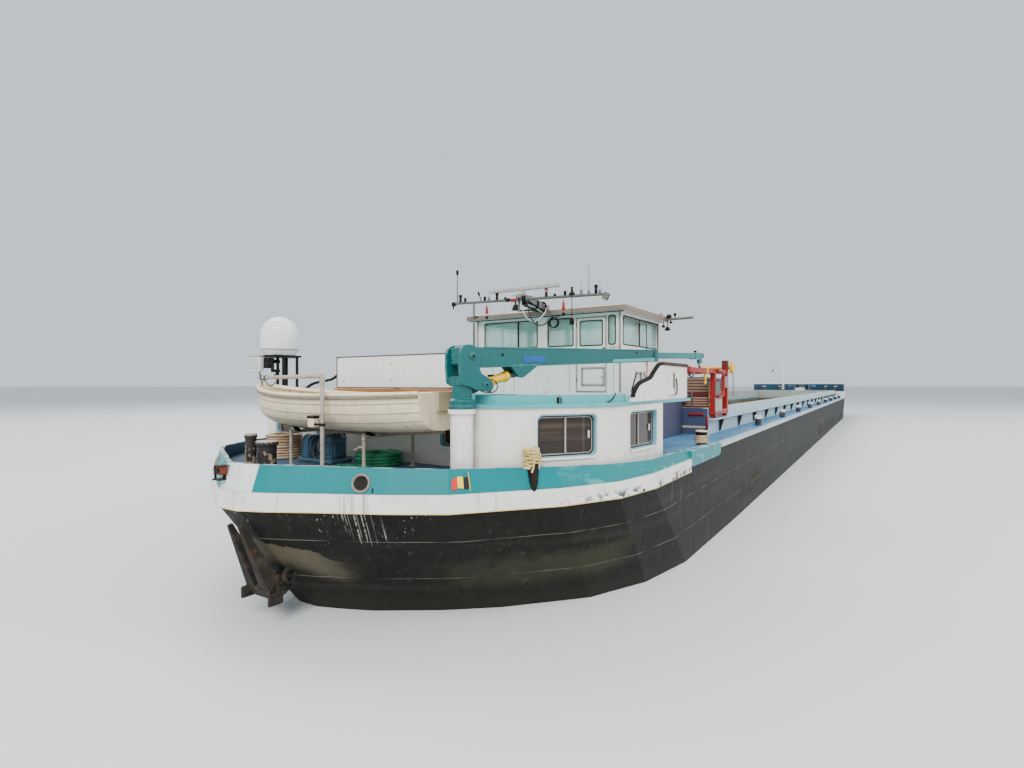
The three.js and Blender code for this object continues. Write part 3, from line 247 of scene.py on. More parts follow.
plain = {
    "white": {"colour": tint(228, 224, 215), "pale": tint(208, 202, 190), "rough": 0.42, "streak": 0.34,
              "rust": 0.16, "wear": 0.3, "speckScale": 55.0, "mottle": 0.08},
    "deck_dark": {"colour": tint(52, 78, 100), "pale": tint(84, 104, 118), "rough": 0.65, "grip": 90.0, "rust": 0.5,
                  "mottle": 0.5},
    "brick": {"colour": tint(92, 18, 16), "pale": tint(84, 30, 26), "rough": 0.55, "rust": 0.5},
    "wire_light": {"colour": tint(196, 192, 184), "pale": tint(160, 154, 146), "rough": 0.6, "rust": 0.0},
    # crane_teal's wear tint is a lighter teal, so its worn edges are partly a painted highlight
    "crane_teal": {"colour": tint(0, 84, 84), "pale": tint(0, 98, 97), "rough": 0.34, "coat": 0.25, "rust": 0.14,
                   "streak": 0.2, "wear": 0.45, "under": tint(96, 190, 184), "mottle": 0.08},
    "aqua": {"colour": tint(70, 162, 164), "pale": tint(108, 182, 182), "rough": 0.42, "rust": 0.12, "streak": 0.25,
             "mottle": 0.1},
    "steel": {"colour": tint(116, 113, 108), "pale": tint(94, 89, 83), "rough": 0.45, "metal": 0.55, "rust": 0.6},
    "black": {"colour": tint(9, 9, 10), "pale": tint(22, 22, 22), "rough": 0.5, "gloss": 0.15, "rust": 0.25,
              "streak": 0.15, "streakTint": tint(120, 112, 100), "under": tint(120, 110, 98)},
    "dome_white": {"colour": tint(232, 230, 226), "pale": tint(214, 212, 206), "rough": 0.34, "coat": 0.2,
                   "rust": 0.02, "streak": 0.22, "wear": 0.0, "mottle": 0.05},
    "cream": {"colour": tint(230, 216, 184), "pale": tint(206, 188, 152), "rough": 0.45, "rust": 0.1, "streak": 0.5,
              "wear": 0.35, "under": tint(120, 104, 84), "speckScale": 70.0},
    "winch_blue": {"colour": tint(60, 92, 114), "pale": tint(90, 114, 128), "rough": 0.42, "rust": 0.35,
                   "wear": 0.6, "under": tint(150, 150, 146)},
    "gear_blue": {"colour": tint(78, 114, 138), "pale": tint(62, 96, 118), "rough": 0.4, "rust": 0.4, "wear": 0.6},
    "rust": {"colour": tint(40, 36, 31), "pale": tint(27, 26, 24), "rough": 0.82, "rust": 1.0, "speckScale": 22.0,
             "mottle": 0.5, "dents": 1.0},
    "bronze": {"colour": tint(176, 132, 62), "pale": tint(140, 108, 60), "rough": 0.35, "metal": 0.9, "rust": 0.1},
    "red": {"colour": tint(150, 8, 10), "pale": tint(136, 26, 22), "rough": 0.4, "coat": 0.1, "rust": 0.2,
            "wear": 0.5},
    "tan": {"colour": tint(122, 94, 78), "pale": tint(140, 116, 100), "rough": 0.6, "rust": 0.4, "streak": 0.5},
    "yellow": {"colour": tint(234, 178, 0), "pale": tint(238, 188, 8), "rough": 0.32, "coat": 0.35, "rust": 0.12,
               "streak": 0.25, "mottle": 0.06},
    "trim_grey": {"colour": tint(156, 146, 136), "pale": tint(132, 124, 116), "rough": 0.5, "rust": 0.2},
    "rubber": {"colour": tint(16, 15, 15), "pale": tint(34, 32, 30), "rough": 0.75, "gloss": 0.15, "rust": 0.0,
               "wear": 0.3, "under": tint(90, 84, 78), "streak": 0.2, "streakTint": tint(110, 104, 96)},
    "rubber_brown": {"colour": tint(62, 42, 34), "pale": tint(84, 62, 50), "rough": 0.7, "rust": 0.1, "wear": 0.4,
                     "under": tint(128, 108, 92)},
    "rail_pipe": {"colour": tint(176, 166, 150), "pale": tint(146, 132, 116), "rough": 0.55, "rust": 0.9,
                  "wear": 0.7, "speckScale": 60.0, "mottle": 0.35},
    "orange_rust": {"colour": tint(118, 50, 24), "pale": tint(84, 42, 26), "rough": 0.7, "rust": 1.0},
    "bollard_paint": {"colour": tint(30, 28, 31), "pale": tint(58, 54, 54), "rough": 0.5, "rust": 0.8, "wear": 0.8,
                      "upper": tint(228, 220, 198), "upperFrom": 1.727, "ragged": 0.004,
                      "under": tint(120, 104, 84), "chipsBelow": 1.6},
    "board_white": {"colour": tint(238, 236, 230), "pale": tint(222, 218, 208), "rough": 0.4, "rust": 0.04,
                    "streak": 0.2, "wear": 0.1, "mottle": 0.05},
    "alu": {"colour": tint(168, 166, 158), "pale": tint(140, 136, 126), "rough": 0.38, "metal": 0.5, "rust": 0.03,
            "streak": 0.3},
    "rim_blue": {"colour": tint(112, 164, 178), "pale": tint(140, 182, 190), "rough": 0.4, "rust": 0.06},
    "blade_grey": {"colour": tint(172, 168, 160), "pale": tint(148, 142, 132), "rough": 0.5, "rust": 0.04,
                   "streak": 0.3},
    "trim_beige": {"colour": tint(128, 118, 108), "pale": tint(160, 150, 138), "rough": 0.48, "rust": 0.15,
                   "streak": 0.4},
    "fascia": {"colour": tint(124, 104, 90), "pale": tint(164, 148, 132), "rough": 0.5, "rust": 0.2, "streak": 0.5,
               "mottle": 0.2},
    "seam_grey": {"colour": tint(128, 126, 122), "pale": tint(90, 88, 84), "rough": 0.6, "rust": 0.1},
    "blind_grey": {"colour": tint(88, 92, 92), "pale": tint(112, 116, 112), "rough": 0.7, "rust": 0.0},
    "orange_cable": {"colour": tint(206, 96, 52), "pale": tint(216, 132, 92), "rough": 0.5, "rust": 0.0},
    "crane_light": {"colour": tint(40, 112, 108), "pale": tint(62, 130, 126), "rough": 0.35, "rust": 0.06,
                    "streak": 0.1},
    "plate_blue": {"colour": tint(4, 82, 142), "pale": tint(24, 98, 150), "rough": 0.3, "rust": 0.05,
                   "streak": 0.1},
    "flag_red": {"colour": tint(206, 40, 36), "pale": tint(196, 70, 60), "rough": 0.4, "rust": 0.05,
                 "streak": 0.1},
    "flag_yellow": {"colour": tint(240, 200, 50), "pale": tint(232, 206, 96), "rough": 0.4, "rust": 0.05,
                    "streak": 0.1},
    "flag_black": {"colour": tint(22, 24, 26), "pale": tint(40, 42, 44), "rough": 0.4, "rust": 0.0, "streak": 0.1},
    "boat_band": {"colour": tint(118, 108, 92), "pale": tint(150, 138, 118), "rough": 0.7, "rust": 0.1, "wear": 0.6,
                  "under": tint(190, 180, 160)},
    "boat_line": {"colour": tint(150, 146, 132), "pale": tint(176, 168, 150), "rough": 0.6, "rust": 0.0},
    "boat_wood": {"colour": tint(178, 160, 128), "pale": tint(150, 136, 110), "rough": 0.7, "rust": 0.0,
                  "streak": 0.3},
    "wire_grey": {"colour": tint(120, 112, 104), "pale": tint(84, 74, 66), "rough": 0.5, "metal": 0.5,
                  "rust": 0.8},
}
finishes = {name: paintedPlate(name, look) for name, look in plain.items()}


def hullPlates():
    paint = Paint("hull_black", Specular_IOR_Level=0.12)
    colour, rough, height, rounded = weather(paint, tint(18, 18, 17), {
        "pale": tint(31, 30, 26), "fade": 0.7, "rough": 0.5, "streak": 0.42, "streakTint": tint(84, 80, 70),
        "rust": 0.3, "wear": 0.5, "under": tint(110, 92, 74), "mottle": 0.07, "dents": 1.6})
    # long scuffs along the plates
    scuff = paint.rise(paint.noise(1.0, 5.0, (0.5, 0.5, 9.0)), 0.5, 0.72)
    colour = paint.mix(scuff * 0.3, colour, tint(60, 58, 50))
    # greenish tide mark that climbs the plates unevenly
    tide = paint.z + (paint.noise(0.8, 4.0) - 0.5) * 0.5 - (paint.noise(7.0, 3.0) - 0.5) * 0.16
    scum = paint.rise(tide, 0.95, 0.86) * paint.rise(paint.z, 0.62, 0.78)
    scum = scum * paint.rise(paint.noise(0.5, 5.0), 0.46, 0.56)
    colour = paint.mix(scum * 0.42, colour, tint(78, 77, 62))
    colour = paint.mix(paint.rise(paint.z, 0.72, 0.5) * 0.55, colour, tint(40, 44, 34))
    # white drips under the band
    drip = paint.rise(paint.noise(1.0, 3.0, (60, 60, 1.4)), 0.64, 0.72) * paint.rise(paint.z, 0.9, 1.24)
    drip = drip * paint.rise(paint.noise(2.6, 2.0, (1, 1, 0.1)), 0.52, 0.66)
    near = paint.rise(abs(abs(paint.y) - 0.79), 0.14, 0.06) * paint.rise(paint.x, -15.7, -16.0)
    round = paint.x * -0.46 - abs(paint.y) * 0.887
    foot = paint.z + (paint.bands(round, 31.0) - 0.5) * 0.3
    runs = paint.rise(paint.bands(round, 64.0, 3.0), 0.56, 0.62) * paint.rise(foot, 1.08, 1.12)
    runs = runs * paint.rise(paint.noise(40.0, 2.0, (1, 1, 0.4)), 0.36, 0.5)
    drip = drip + near * runs
    colour = paint.mix(drip * 0.8, colour, tint(168, 164, 152))
    patch = paint.z + (paint.noise(3.4, 5.0) - 0.5) * 0.2 + (paint.noise(22.0, 4.0) - 0.5) * 0.05
    patch = patch + abs(paint.y) * 0.24
    patch = paint.rise(patch, 1.085, 1.075) * paint.rise(patch, 0.82, 0.98) * paint.rise(paint.x, -15.9, -16.1)
    patch = patch * paint.rise(abs(paint.y) + paint.noise(3.0) * 0.3, 0.74, 0.5)
    colour = paint.mix(patch * 0.75, colour, tint(96, 90, 74))
    # welds between the plates
    seams = paint.line(paint.z - 1.09, 0.004) + paint.line(paint.z - 0.79, 0.004)
    upright = paint.line((paint.x + 100.0) % 3.0 - 1.5, 0.005) * paint.rise(paint.z, 0.79, 0.8)
    upright = upright + paint.line((paint.x + 101.4) % 3.0 - 1.5, 0.005) * paint.rise(paint.z, 0.8, 0.79)
    upright = upright * paint.rise(paint.x, -14.4, -14.3)
    joint = (seams + upright) * paint.rise(paint.noise(3.0, 3.0), 0.38, 0.6)
    colour = paint.mix(joint * 0.5, colour, tint(138, 132, 118))
    # the sides of the hold, rubbed grey-green
    hold = paint.rise(abs(paint.y), 1.652, 1.65) * paint.rise(paint.x, -11.56, -11.555)
    hold = hold * paint.rise(paint.x, 12.01, 12.005)
    rubbed = paint.mix(paint.rise(paint.noise(2.2, 5.0, (1, 1, 0.4)), 0.4, 0.62), tint(104, 108, 100),
                       tint(96, 78, 64))
    colour = paint.mix(hold * 0.9, colour, rubbed)
    return paint.finish(colour, rough + scum * 0.3, height + (seams + upright) * 0.5, 0.004, rounded)


def sternWhite():
    paint = Paint("band_white")
    colour, rough, height, rounded = weather(paint, tint(232, 230, 224), {
        "pale": tint(206, 200, 188), "rough": 0.42, "streak": 0.5, "rust": 0.5, "speckScale": 30.0, "wear": 0.3})
    chips = paint.rise(paint.noise(17.0, 5.0), 0.52, 0.55) * paint.rise(paint.x, -15.8, -14.9)
    chips = chips * paint.rise(paint.z + paint.noise(6.0) * 0.1, 1.43, 1.38)
    colour = paint.mix(chips, colour, tint(34, 29, 26))
    stain = paint.rise(abs(abs(paint.y) - 0.8), 0.13, 0.05)
    stain = stain * paint.rise(paint.noise(1.0, 3.0, (50, 50, 2)), 0.46, 0.62)
    colour = paint.mix(stain * paint.rise(paint.x, -15.7, -15.9) * 0.6, colour, tint(122, 100, 80))
    lip = paint.rise(paint.z + (paint.noise(16.0, 3.0) - 0.5) * 0.008, 1.308, 1.304)
    colour = paint.mix(lip * 0.85, colour, tint(206, 180, 62))
    return paint.finish(colour, rough, height - chips * 0.5, 0.003, rounded)


def bulwarkTeal():
    paint = Paint("teal", Coat_Weight=0.08, Specular_IOR_Level=0.2)
    base = tint(0, 115, 118)
    inner = tint(38, 62, 84)
    nx, ny, _ = paint.facing()
    # inside faces look towards the middle of the deck
    inward = paint.rise(nx * (paint.x + 12.7) + ny * paint.y, 0.0, -0.05)
    # a white panel across the middle of the stern
    stripe = paint.rise(abs(paint.y + 0.03), 0.156, 0.153) * paint.rise(paint.x, -16.3, -16.4)
    colour = paint.mix(stripe, base, tint(226, 228, 224))
    colour = paint.mix(inward, colour, inner)
    colour, rough, height, rounded = weather(paint, colour, {
        "pale": tint(0, 124, 127), "fade": 0.14, "rough": 0.34, "streak": 0.16, "rust": 0.14, "wear": 0.25,
        "under": tint(210, 214, 208), "mottle": 0.05, "speckScale": 36.0})
    scuff = paint.rise(paint.noise(6.0, 5.0, (1, 1, 2)), 0.56, 0.68) * paint.rise(paint.x, -15.8, -14.9)
    scuff = scuff * paint.rise(paint.x, -12.4, -12.7)
    colour = paint.mix(scuff * 0.6, colour, tint(96, 178, 178))
    _, _, up = paint.facing()
    rubbed = paint.rise(up, 0.8, 0.9) * paint.rise(paint.noise(9.0, 4.0), 0.4, 0.55)
    colour = paint.mix(rubbed * 0.7, colour, tint(196, 206, 200))
    return paint.finish(colour, rough, height, 0.002, rounded)


def scuffedBlack(paint):
    return paint.mix(paint.rise(paint.noise(30.0, 4.0), 0.6, 0.66), tint(14, 14, 16), tint(130, 116, 98))


def sideDeckBlue():
    paint = Paint("deck_blue")
    edge = paint.rise(abs(paint.y), 2.0, 2.012)
    bollard = paint.rise(paint.z, 1.474, 1.477)
    colour = paint.mix(edge, tint(66, 124, 162), tint(186, 196, 196))
    top = paint.rise(paint.z + (paint.noise(20.0) - 0.5) * 0.02, 1.574, 1.578)
    colour, rough, height, rounded = weather(paint, colour, {
        "pale": tint(104, 152, 178), "fade": 0.3, "rough": 0.5, "rust": 0.5, "wear": 0.6, "streak": 0.2,
        "mottle": 0.3})
    colour = paint.mix(bollard * 0.95, colour, scuffedBlack(paint))
    colour = paint.mix(top, colour, tint(222, 220, 212))
    puddle = paint.rise(paint.noise(1.4, 3.0), 0.5, 0.62)
    height = height + paint.pips(80.0) * 0.25
    return paint.finish(colour, rough - puddle * 0.25, height, 0.002, rounded)


def foreDeck():
    # white topsides, blue deck, dark bollards with white caps
    paint = Paint("fore_deck")
    _, _, up = paint.facing()
    colour = paint.mix(paint.rise(up, 0.5, 0.6), tint(230, 228, 222), tint(62, 116, 150))
    colour, rough, height, rounded = weather(paint, colour, {
        "pale": tint(150, 170, 178), "fade": 0.2, "rough": 0.5, "rust": 0.5, "wear": 0.5, "streak": 0.4,
        "mottle": 0.25})
    post = paint.rise(paint.z, 1.752, 1.756) * paint.rise(abs(paint.y), 0.4, 0.41)
    colour = paint.mix(post * 0.95, colour, scuffedBlack(paint))
    colour = paint.mix(post * paint.rise(paint.z, 1.968, 1.974), colour, tint(222, 220, 212))
    return paint.finish(colour, rough, height + paint.pips(80.0) * 0.2, 0.002, rounded)


def coamingBlue():
    paint = Paint("pale_blue")
    inside = paint.rise(abs(paint.y), 1.652, 1.65) * paint.rise(paint.z, 1.81, 1.79)
    ends = paint.rise(paint.x, -11.54, -11.55)
    colour = paint.mix(inside, tint(158, 182, 192), tint(150, 160, 150))
    # painted shade under the flange: its brackets and its underside are drawn near black
    pitch = 1.2
    step = (paint.x + 131.55) % pitch - pitch / 2
    bracket = paint.rise(abs(step), 0.02, 0.018) * paint.rise(abs(paint.y), 1.704, 1.706)
    under = paint.rise(paint.z, 1.655, 1.645) * paint.rise(abs(paint.y), 1.71, 1.72)
    colour, rough, height, rounded = weather(paint, colour, {
        "pale": tint(178, 196, 200), "fade": 0.3, "rough": 0.5, "rust": 0.5, "streak": 0.6, "wear": 0.5})
    colour = paint.mix(ends * 0.94, colour, paint.mix(rough, tint(16, 24, 62), tint(40, 50, 88)))
    # painted shade: near black on the brackets and on the underside of the flange
    colour = paint.mix((bracket + under) * 0.92, colour, tint(16, 17, 19))
    rim = paint.rise(paint.z, 1.79, 1.794) * paint.rise(abs(paint.y), 1.64, 1.65)
    colour = paint.mix(rim * 0.85, colour, tint(188, 176, 150))
    upright = paint.line((paint.x + 100.0) % 3.0 - 1.5, 0.006)
    return paint.finish(colour, rough, height + upright * 0.4, 0.003, rounded)


def holdPlanks():
    paint = Paint("grey_green")
    plank = (paint.y + 10.0) % 0.12
    joint = paint.rise(plank, 0.006, 0.002)
    colour = paint.mix(paint.noise(2.0, 4.0, (0.3, 9, 1)), tint(120, 128, 116), tint(146, 142, 124))
    colour = paint.mix(joint, colour, tint(54, 52, 46))
    colour, rough, height, rounded = weather(paint, colour, {
        "pale": tint(150, 150, 136), "rough": 0.7, "rust": 0.6, "mottle": 0.5})
    return paint.finish(colour, rough, height - joint, 0.004, rounded)


def paneDark():
    # tinted cabin glass, with the dim room behind it painted into its colour as shade, paler shelves, and pale
    # vertical streaks of painted reflection
    paint = Paint("dark_glass", Coat_Weight=0.15, Coat_Roughness=0.03, Specular_IOR_Level=0.3)
    room = paint.noise(2.2, 3.0, (1, 1, 4.0))
    shelf = paint.rise(paint.noise(1.0, 2.0, (0.6, 0.6, 16)), 0.46, 0.62)
    colour = paint.mix(room, tint(16, 12, 10), tint(54, 39, 31))
    colour = paint.mix(shelf * 0.5, colour, tint(84, 70, 56))
    # pale vertical streaks: painted reflection on the glass
    reflectionStreak = paint.rise(paint.noise(1.0, 1.0, (14, 14, 0.4)), 0.6, 0.7) * 0.25
    colour = paint.mix(reflectionStreak, colour, tint(110, 102, 92))
    return paint.finish(colour, paint.noise(12.0, 2.0) * 0.08 + 0.03)


def paneClear():
    paint = Paint("clear_glass", Coat_Weight=0.4, Coat_Roughness=0.03, IOR=1.45)
    smear = paint.noise(3.0, 3.0, (1, 1, 3))
    colour = paint.mix(paint.rise(smear, 0.3, 0.7), tint(150, 214, 198), tint(196, 230, 218))
    haze = paint.rise(paint.noise(1.2, 4.0), 0.3, 0.75) * 0.2 + 0.24
    paint.tree.links.new(haze.socket, paint.shader.inputs["Alpha"])
    return paint.finish(colour, smear * 0.06 + 0.02)


def houseWhite():
    paint = Paint("house_white", Specular_IOR_Level=0.35)
    # navy on the house forward of its wide part (ship x 5.35): partly navy paint, partly painted shade of the recess
    # under the roof's overhang
    forwardNavyAndShade = paint.rise(paint.x, -14.072, -14.07)
    colour, rough, height, rounded = weather(paint, tint(226, 222, 212), {
        "pale": tint(210, 204, 192), "rough": 0.42, "streak": 0.42, "streakTint": tint(150, 140, 122), "rust": 0.14,
        "wear": 0.25, "speckScale": 55.0, "mottle": 0.06})
    colour = paint.mix(forwardNavyAndShade * 0.95, colour, paint.mix(rough, tint(16, 24, 58), tint(40, 50, 84)))
    seam = paint.line(paint.x + 15.9, 0.003) + paint.line(paint.x + 15.0, 0.003)
    return paint.finish(colour, rough, height + seam * 0.5, 0.003, rounded)


def sillWood():
    paint = Paint("wood")
    grain = paint.noise(2.0, 6.0, (14, 0.5, 14), 0.6)
    colour = paint.mix(paint.rise(grain, 0.3, 0.7), tint(196, 132, 56), tint(150, 88, 34))
    colour = paint.mix(paint.rise(paint.noise(5.0, 3.0), 0.5, 0.75) * 0.4, colour, tint(110, 84, 56))
    _, rounded = paint.edges(0.004)
    return paint.finish(colour, grain * 0.3 + 0.45, grain, 0.002, rounded)


def ropeFibre(name, low, high, dirt):
    paint = Paint(name)
    fibre = paint.noise(150.0, 3.0)
    colour = paint.mix(paint.rise(paint.noise(9.0, 3.0), 0.35, 0.65), low, high)
    colour = paint.mix(paint.rise(fibre, 0.5, 0.75) * 0.5, colour, dirt)
    return paint.finish(colour, 0.85, fibre, 0.002)


def lampGlass(name, colour, glow):
    paint = Paint(name, Coat_Weight=0.5, IOR=1.5)
    ribs = paint.rise((paint.z * 400) % 1.0, 0.3, 0.6)
    paint.shader.inputs["Emission Strength"].default_value = glow
    paint.shader.inputs["Emission Color"].default_value = colour
    return paint.finish(paint.mix(ribs * 0.25, colour, tint(240, 240, 236)), 0.15, ribs, 0.001)


finishes.update({
    "hull_black": hullPlates(), "band_white": sternWhite(), "teal": bulwarkTeal(), "deck_blue": sideDeckBlue(),
    "pale_blue": coamingBlue(), "grey_green": holdPlanks(), "dark_glass": paneDark(), "clear_glass": paneClear(),
    "wood": sillWood(), "house_white": houseWhite(), "fore_deck": foreDeck(),
    "rope_green": ropeFibre("rope_green", tint(8, 104, 70), tint(40, 150, 104), tint(96, 128, 100)),
    "rope_brown": ropeFibre("rope_brown", tint(158, 124, 94), tint(196, 168, 136), tint(78, 54, 40)),
    "rope_straw": ropeFibre("rope_straw", tint(196, 170, 104), tint(222, 204, 146), tint(110, 84, 48)),
    "hose_black": ropeFibre("hose_black", tint(20, 20, 21), tint(34, 33, 33), tint(70, 66, 62)),
    "lamp_red": lampGlass("lamp_red", tint(190, 24, 20), 0.1),
    "lamp_clear": lampGlass("lamp_clear", tint(214, 216, 210), 0.1),
})
print("stage: materials", len(finishes))

nodeFinish = {
    "hull_black": ["hull_aft", "hull_mid", "hull_fore", "shaft_line", "rudder_left", "rudder_right"],
    "band_white": ["stern_band"],
    "deck_dark": ["aft_deck"],
    "deck_blue": ["side_decks"],
    "teal": ["bulwark_aft", "bulwark_fore"],
    "pale_blue": ["coaming"],
    "grey_green": ["hold_floor"],
    "house_white": ["house_walls"],
    "white": ["house_door_left", "house_door_right", "wing_wall_left", "wing_wall_right",
              "bridge_walls", "bridge_roof", "bridge_door", "foremast", "crane_column"],
    "dark_glass": ["house_glass"],
    "clear_glass": ["bridge_glass"],
    "aqua": ["house_roof"],
    "crane_light": ["crane_extension"],
    "fore_deck": ["forecastle", "hatch_trunk", "hatch_lid"],
    "dome_white": ["dome"],
    "blade_grey": ["radar_scanner"],
    "crane_teal": ["crane_head", "crane_boom"],
    "yellow": ["luff_barrel", "gantry_hoist"],
    "steel": ["luff_rod", "mast_step", "radar_mast"],
    "black": ["dome_stand", "helm"],
    "rail_pipe": ["davit", "boat_chocks"],
    "bollard_paint": ["aft_bollards"],
    "winch_blue": ["aft_winch", "bow_winch"],
    "rust": ["stern_anchor", "bow_anchor_left", "bow_anchor_right"],
    "bronze": ["propeller"],
    "red": ["gantry_frame"],
    "tan": ["hatch_covers"],
    "cream": ["ships_boat"],
    "wood": ["name_board"],
    "rope_green": ["rope_coil_green"],
    "rope_brown": ["rope_coil_brown"],
}
for finish, nodes in nodeFinish.items():
    for node in nodes:
        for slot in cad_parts[node].material_slots:
            slot.material = finishes[finish]


# Modelling
class Piece:
    # gathers solids in the ship's metres, and becomes one object that rides on a body
    def __init__(self, name, body="hull", place=None):
        self.name = name
        self.body = body
        self.place = place or Matrix.Identity(4)
        self.mesh = bmesh.new()
        self.finishes = []

    def take(self, part, finish, place=None):
        bmesh.ops.remove_doubles(part, verts=part.verts[:], dist=1e-5)
        if place is not None:
            part.transform(place)
        bmesh.ops.recalc_face_normals(part, faces=part.faces[:])
        if finish not in self.finishes:
            self.finishes.append(finish)
        for face in part.faces:
            face.material_index = self.finishes.index(finish)
        scratch = bpy.data.meshes.new("scratch")
        part.to_mesh(scratch)
        part.free()
        self.mesh.from_mesh(scratch)
        bpy.data.meshes.remove(scratch)

    def block(self, finish, low, high, bevel, place=None, segments=1):
        part = bmesh.new()
        size = Vector(high) - Vector(low)
        bmesh.ops.create_cube(part, size=1.0, matrix=Matrix.Translation((Vector(high) + Vector(low)) / 2)
                              @ Matrix.Diagonal((*size, 1)))
        self.soften(part, part.edges[:], min(bevel, 0.3 * min(abs(v) for v in size)), segments)
        self.take(part, finish, place)

    def soften(self, part, edges, offset, segments=1):
        if offset > 0:
            bmesh.ops.bevel(part, geom=edges, offset=offset, segments=segments, profile=0.5, affect="EDGES",
                            material=-1)

    def bar(self, finish, start, end, radius, endRadius=None, sides=12, place=None):
        part = bmesh.new()
        run = Vector(end) - Vector(start)
        aim = run.to_track_quat("Z", "Y").to_matrix().to_4x4()
        bmesh.ops.create_cone(part, cap_ends=True, segments=sides, radius1=radius, depth=run.length,
                              radius2=radius if endRadius is None else endRadius,
                              matrix=Matrix.Translation((Vector(start) + Vector(end)) / 2) @ aim)
        self.take(part, finish, place)

    def turned(self, finish, profile, centre=(0, 0, 0), axis=(0, 0, 1), steps=20, place=None):
        # a profile of (radius, height) turned about an axis through the centre
        part = bmesh.new()
        verts = [part.verts.new((radius, 0, height)) for radius, height in profile]
        edges = [part.edges.new(ends) for ends in zip(verts, verts[1:])]
        bmesh.ops.spin(part, geom=verts + edges, cent=(0, 0, 0), axis=(0, 0, 1), angle=math.tau, steps=steps,
                       use_merge=True)
        part.transform(Matrix.Translation(centre) @ Vector(axis).to_track_quat("Z", "Y").to_matrix().to_4x4())
        self.take(part, finish, place)

    def plate(self, finish, outline, plane, start, end, corner=0.0, bevel=0.0, place=None):
        # an outline in one of the planes, pushed from start to end
        part = bmesh.new()
        part.faces.new([part.verts.new((u, v, start)) for u, v in outline])
        if corner:
            bmesh.ops.bevel(part, geom=part.verts[:], offset=corner, segments=3, profile=0.5,
                            affect="VERTICES", material=-1)
        made = bmesh.ops.extrude_face_region(part, geom=part.faces[:])["geom"]
        bmesh.ops.translate(part, verts=[v for v in made if isinstance(v, bmesh.types.BMVert)],
                            vec=(0, 0, end - start))
        if bevel:
            rims = [edge for edge in part.edges if len({round(v.co.z, 5) for v in edge.verts}) == 1]
            self.soften(part, rims, bevel)
        self.take(part, finish, (place or Matrix.Identity(4)) @ planes[plane])

    def ring(self, finish, width, height, corner, border, depth, place, bevel):
        # a frame with round corners, standing in the y-z plane of its place and growing outwards along -x
        part = bmesh.new()
        part.faces.new([part.verts.new((su * width / 2, sv * height / 2, 0)) for su, sv in corners])
        bmesh.ops.bevel(part, geom=part.verts[:], offset=corner, segments=4, profile=0.5, affect="VERTICES",
                        material=-1)
        whole = part.faces[:]
        bmesh.ops.inset_region(part, faces=whole, thickness=border, use_even_offset=True, use_boundary=True)
        bmesh.ops.delete(part, geom=whole, context="FACES_ONLY")
        made = bmesh.ops.extrude_face_region(part, geom=part.faces[:])["geom"]
        bmesh.ops.translate(part, verts=[v for v in made if isinstance(v, bmesh.types.BMVert)], vec=(0, 0, -depth))
        rims = [edge for edge in part.edges if all(abs(v.co.z + depth) < 1e-6 for v in edge.verts)
                and sum(abs(face.normal.z) > 0.5 for face in edge.link_faces) == 1]
        self.soften(part, rims, bevel)
        self.take(part, finish, place @ planes["cross"])

    def tube(self, finish, points, radius, sides=8, closed=False, place=None):
        part = bmesh.new()
        mesh = sweep(points, radius, sides, closed)
        part.from_mesh(mesh)
        bpy.data.meshes.remove(mesh)
        self.take(part, finish, place)

    def done(self, slot=None, stands=()):
        self.mesh.transform(shipToModel @ self.place)
        if self.place.determinant() < 0:  # mirrored
            bmesh.ops.reverse_faces(self.mesh, faces=self.mesh.faces[:])
        mesh = bpy.data.meshes.new(self.name)
        self.mesh.to_mesh(mesh)
        self.mesh.free()
        for finish in self.finishes:
            mesh.materials.append(finishes[finish])
        mesh.polygons.foreach_set("use_smooth", [True] * len(mesh.polygons))
        mesh.set_sharp_from_angle(angle=math.radians(35))
        made = bpy.data.objects.new(self.name, mesh)
        bpy.context.scene.collection.objects.link(made)
        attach(made, self.body)
        if stands:
            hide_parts(*stands)
        return made


def smoothed(points, steps):
    # a smooth line through the points
    line = []
    ends = [points[0], *points, points[-1]]
    for a, b, c, d in zip(ends, ends[1:], ends[2:], ends[3:]):
        a, b, c, d = Vector(a), Vector(b), Vector(c), Vector(d)
        for i in range(steps):
            t = i / steps
            line.append(0.5 * (2 * b + (c - a) * t + (2 * a - 5 * b + 4 * c - d) * t * t
                               + (3 * b - a - 3 * c + d) * t ** 3))
    return [*line, Vector(points[-1])]


def sweep(points, radius, sides=8, closed=False, lobes=0, twist=0.0):
    # a round tube along the points, or a rope of twisted strands where lobes is given
    curve = bpy.data.curves.new("sweep", "CURVE")
    curve.dimensions = "3D"
    curve.use_fill_caps = True
    spline = curve.splines.new("POLY")
    spline.points.add(len(points) - 1)
    for i, point in enumerate(points):
        spline.points[i].co = (*point, 1.0)
        spline.points[i].tilt = twist * i
    spline.use_cyclic_u = closed
    profile = None
    if lobes:
        outline = bpy.data.curves.new("strands", "CURVE")
        outline.dimensions = "2D"
        around = outline.splines.new("POLY")
        around.points.add(lobes * 4 - 1)
        for i in range(lobes * 4):
            reach = radius * (1.04 if i % 4 in (1, 2) else 0.84)
            angle = math.tau * i / (lobes * 4)
            around.points[i].co = (reach * math.cos(angle), reach * math.sin(angle), 0, 1)
        around.use_cyclic_u = True
        profile = bpy.data.objects.new("strands", outline)
        curve.bevel_mode = "OBJECT"
        curve.bevel_object = profile
    else:
        curve.bevel_depth = radius
        curve.bevel_resolution = max(0, sides // 4 - 1) if sides > 4 else 0
    holder = bpy.data.objects.new("sweep", curve)
    bpy.context.scene.collection.objects.link(holder)
    mesh = bpy.data.meshes.new_from_object(holder.evaluated_get(bpy.context.evaluated_depsgraph_get()))
    bpy.data.objects.remove(holder)
    bpy.data.curves.remove(curve)
    if profile:
        outline = profile.data
        bpy.data.objects.remove(profile)
        bpy.data.curves.remove(outline)
    return mesh


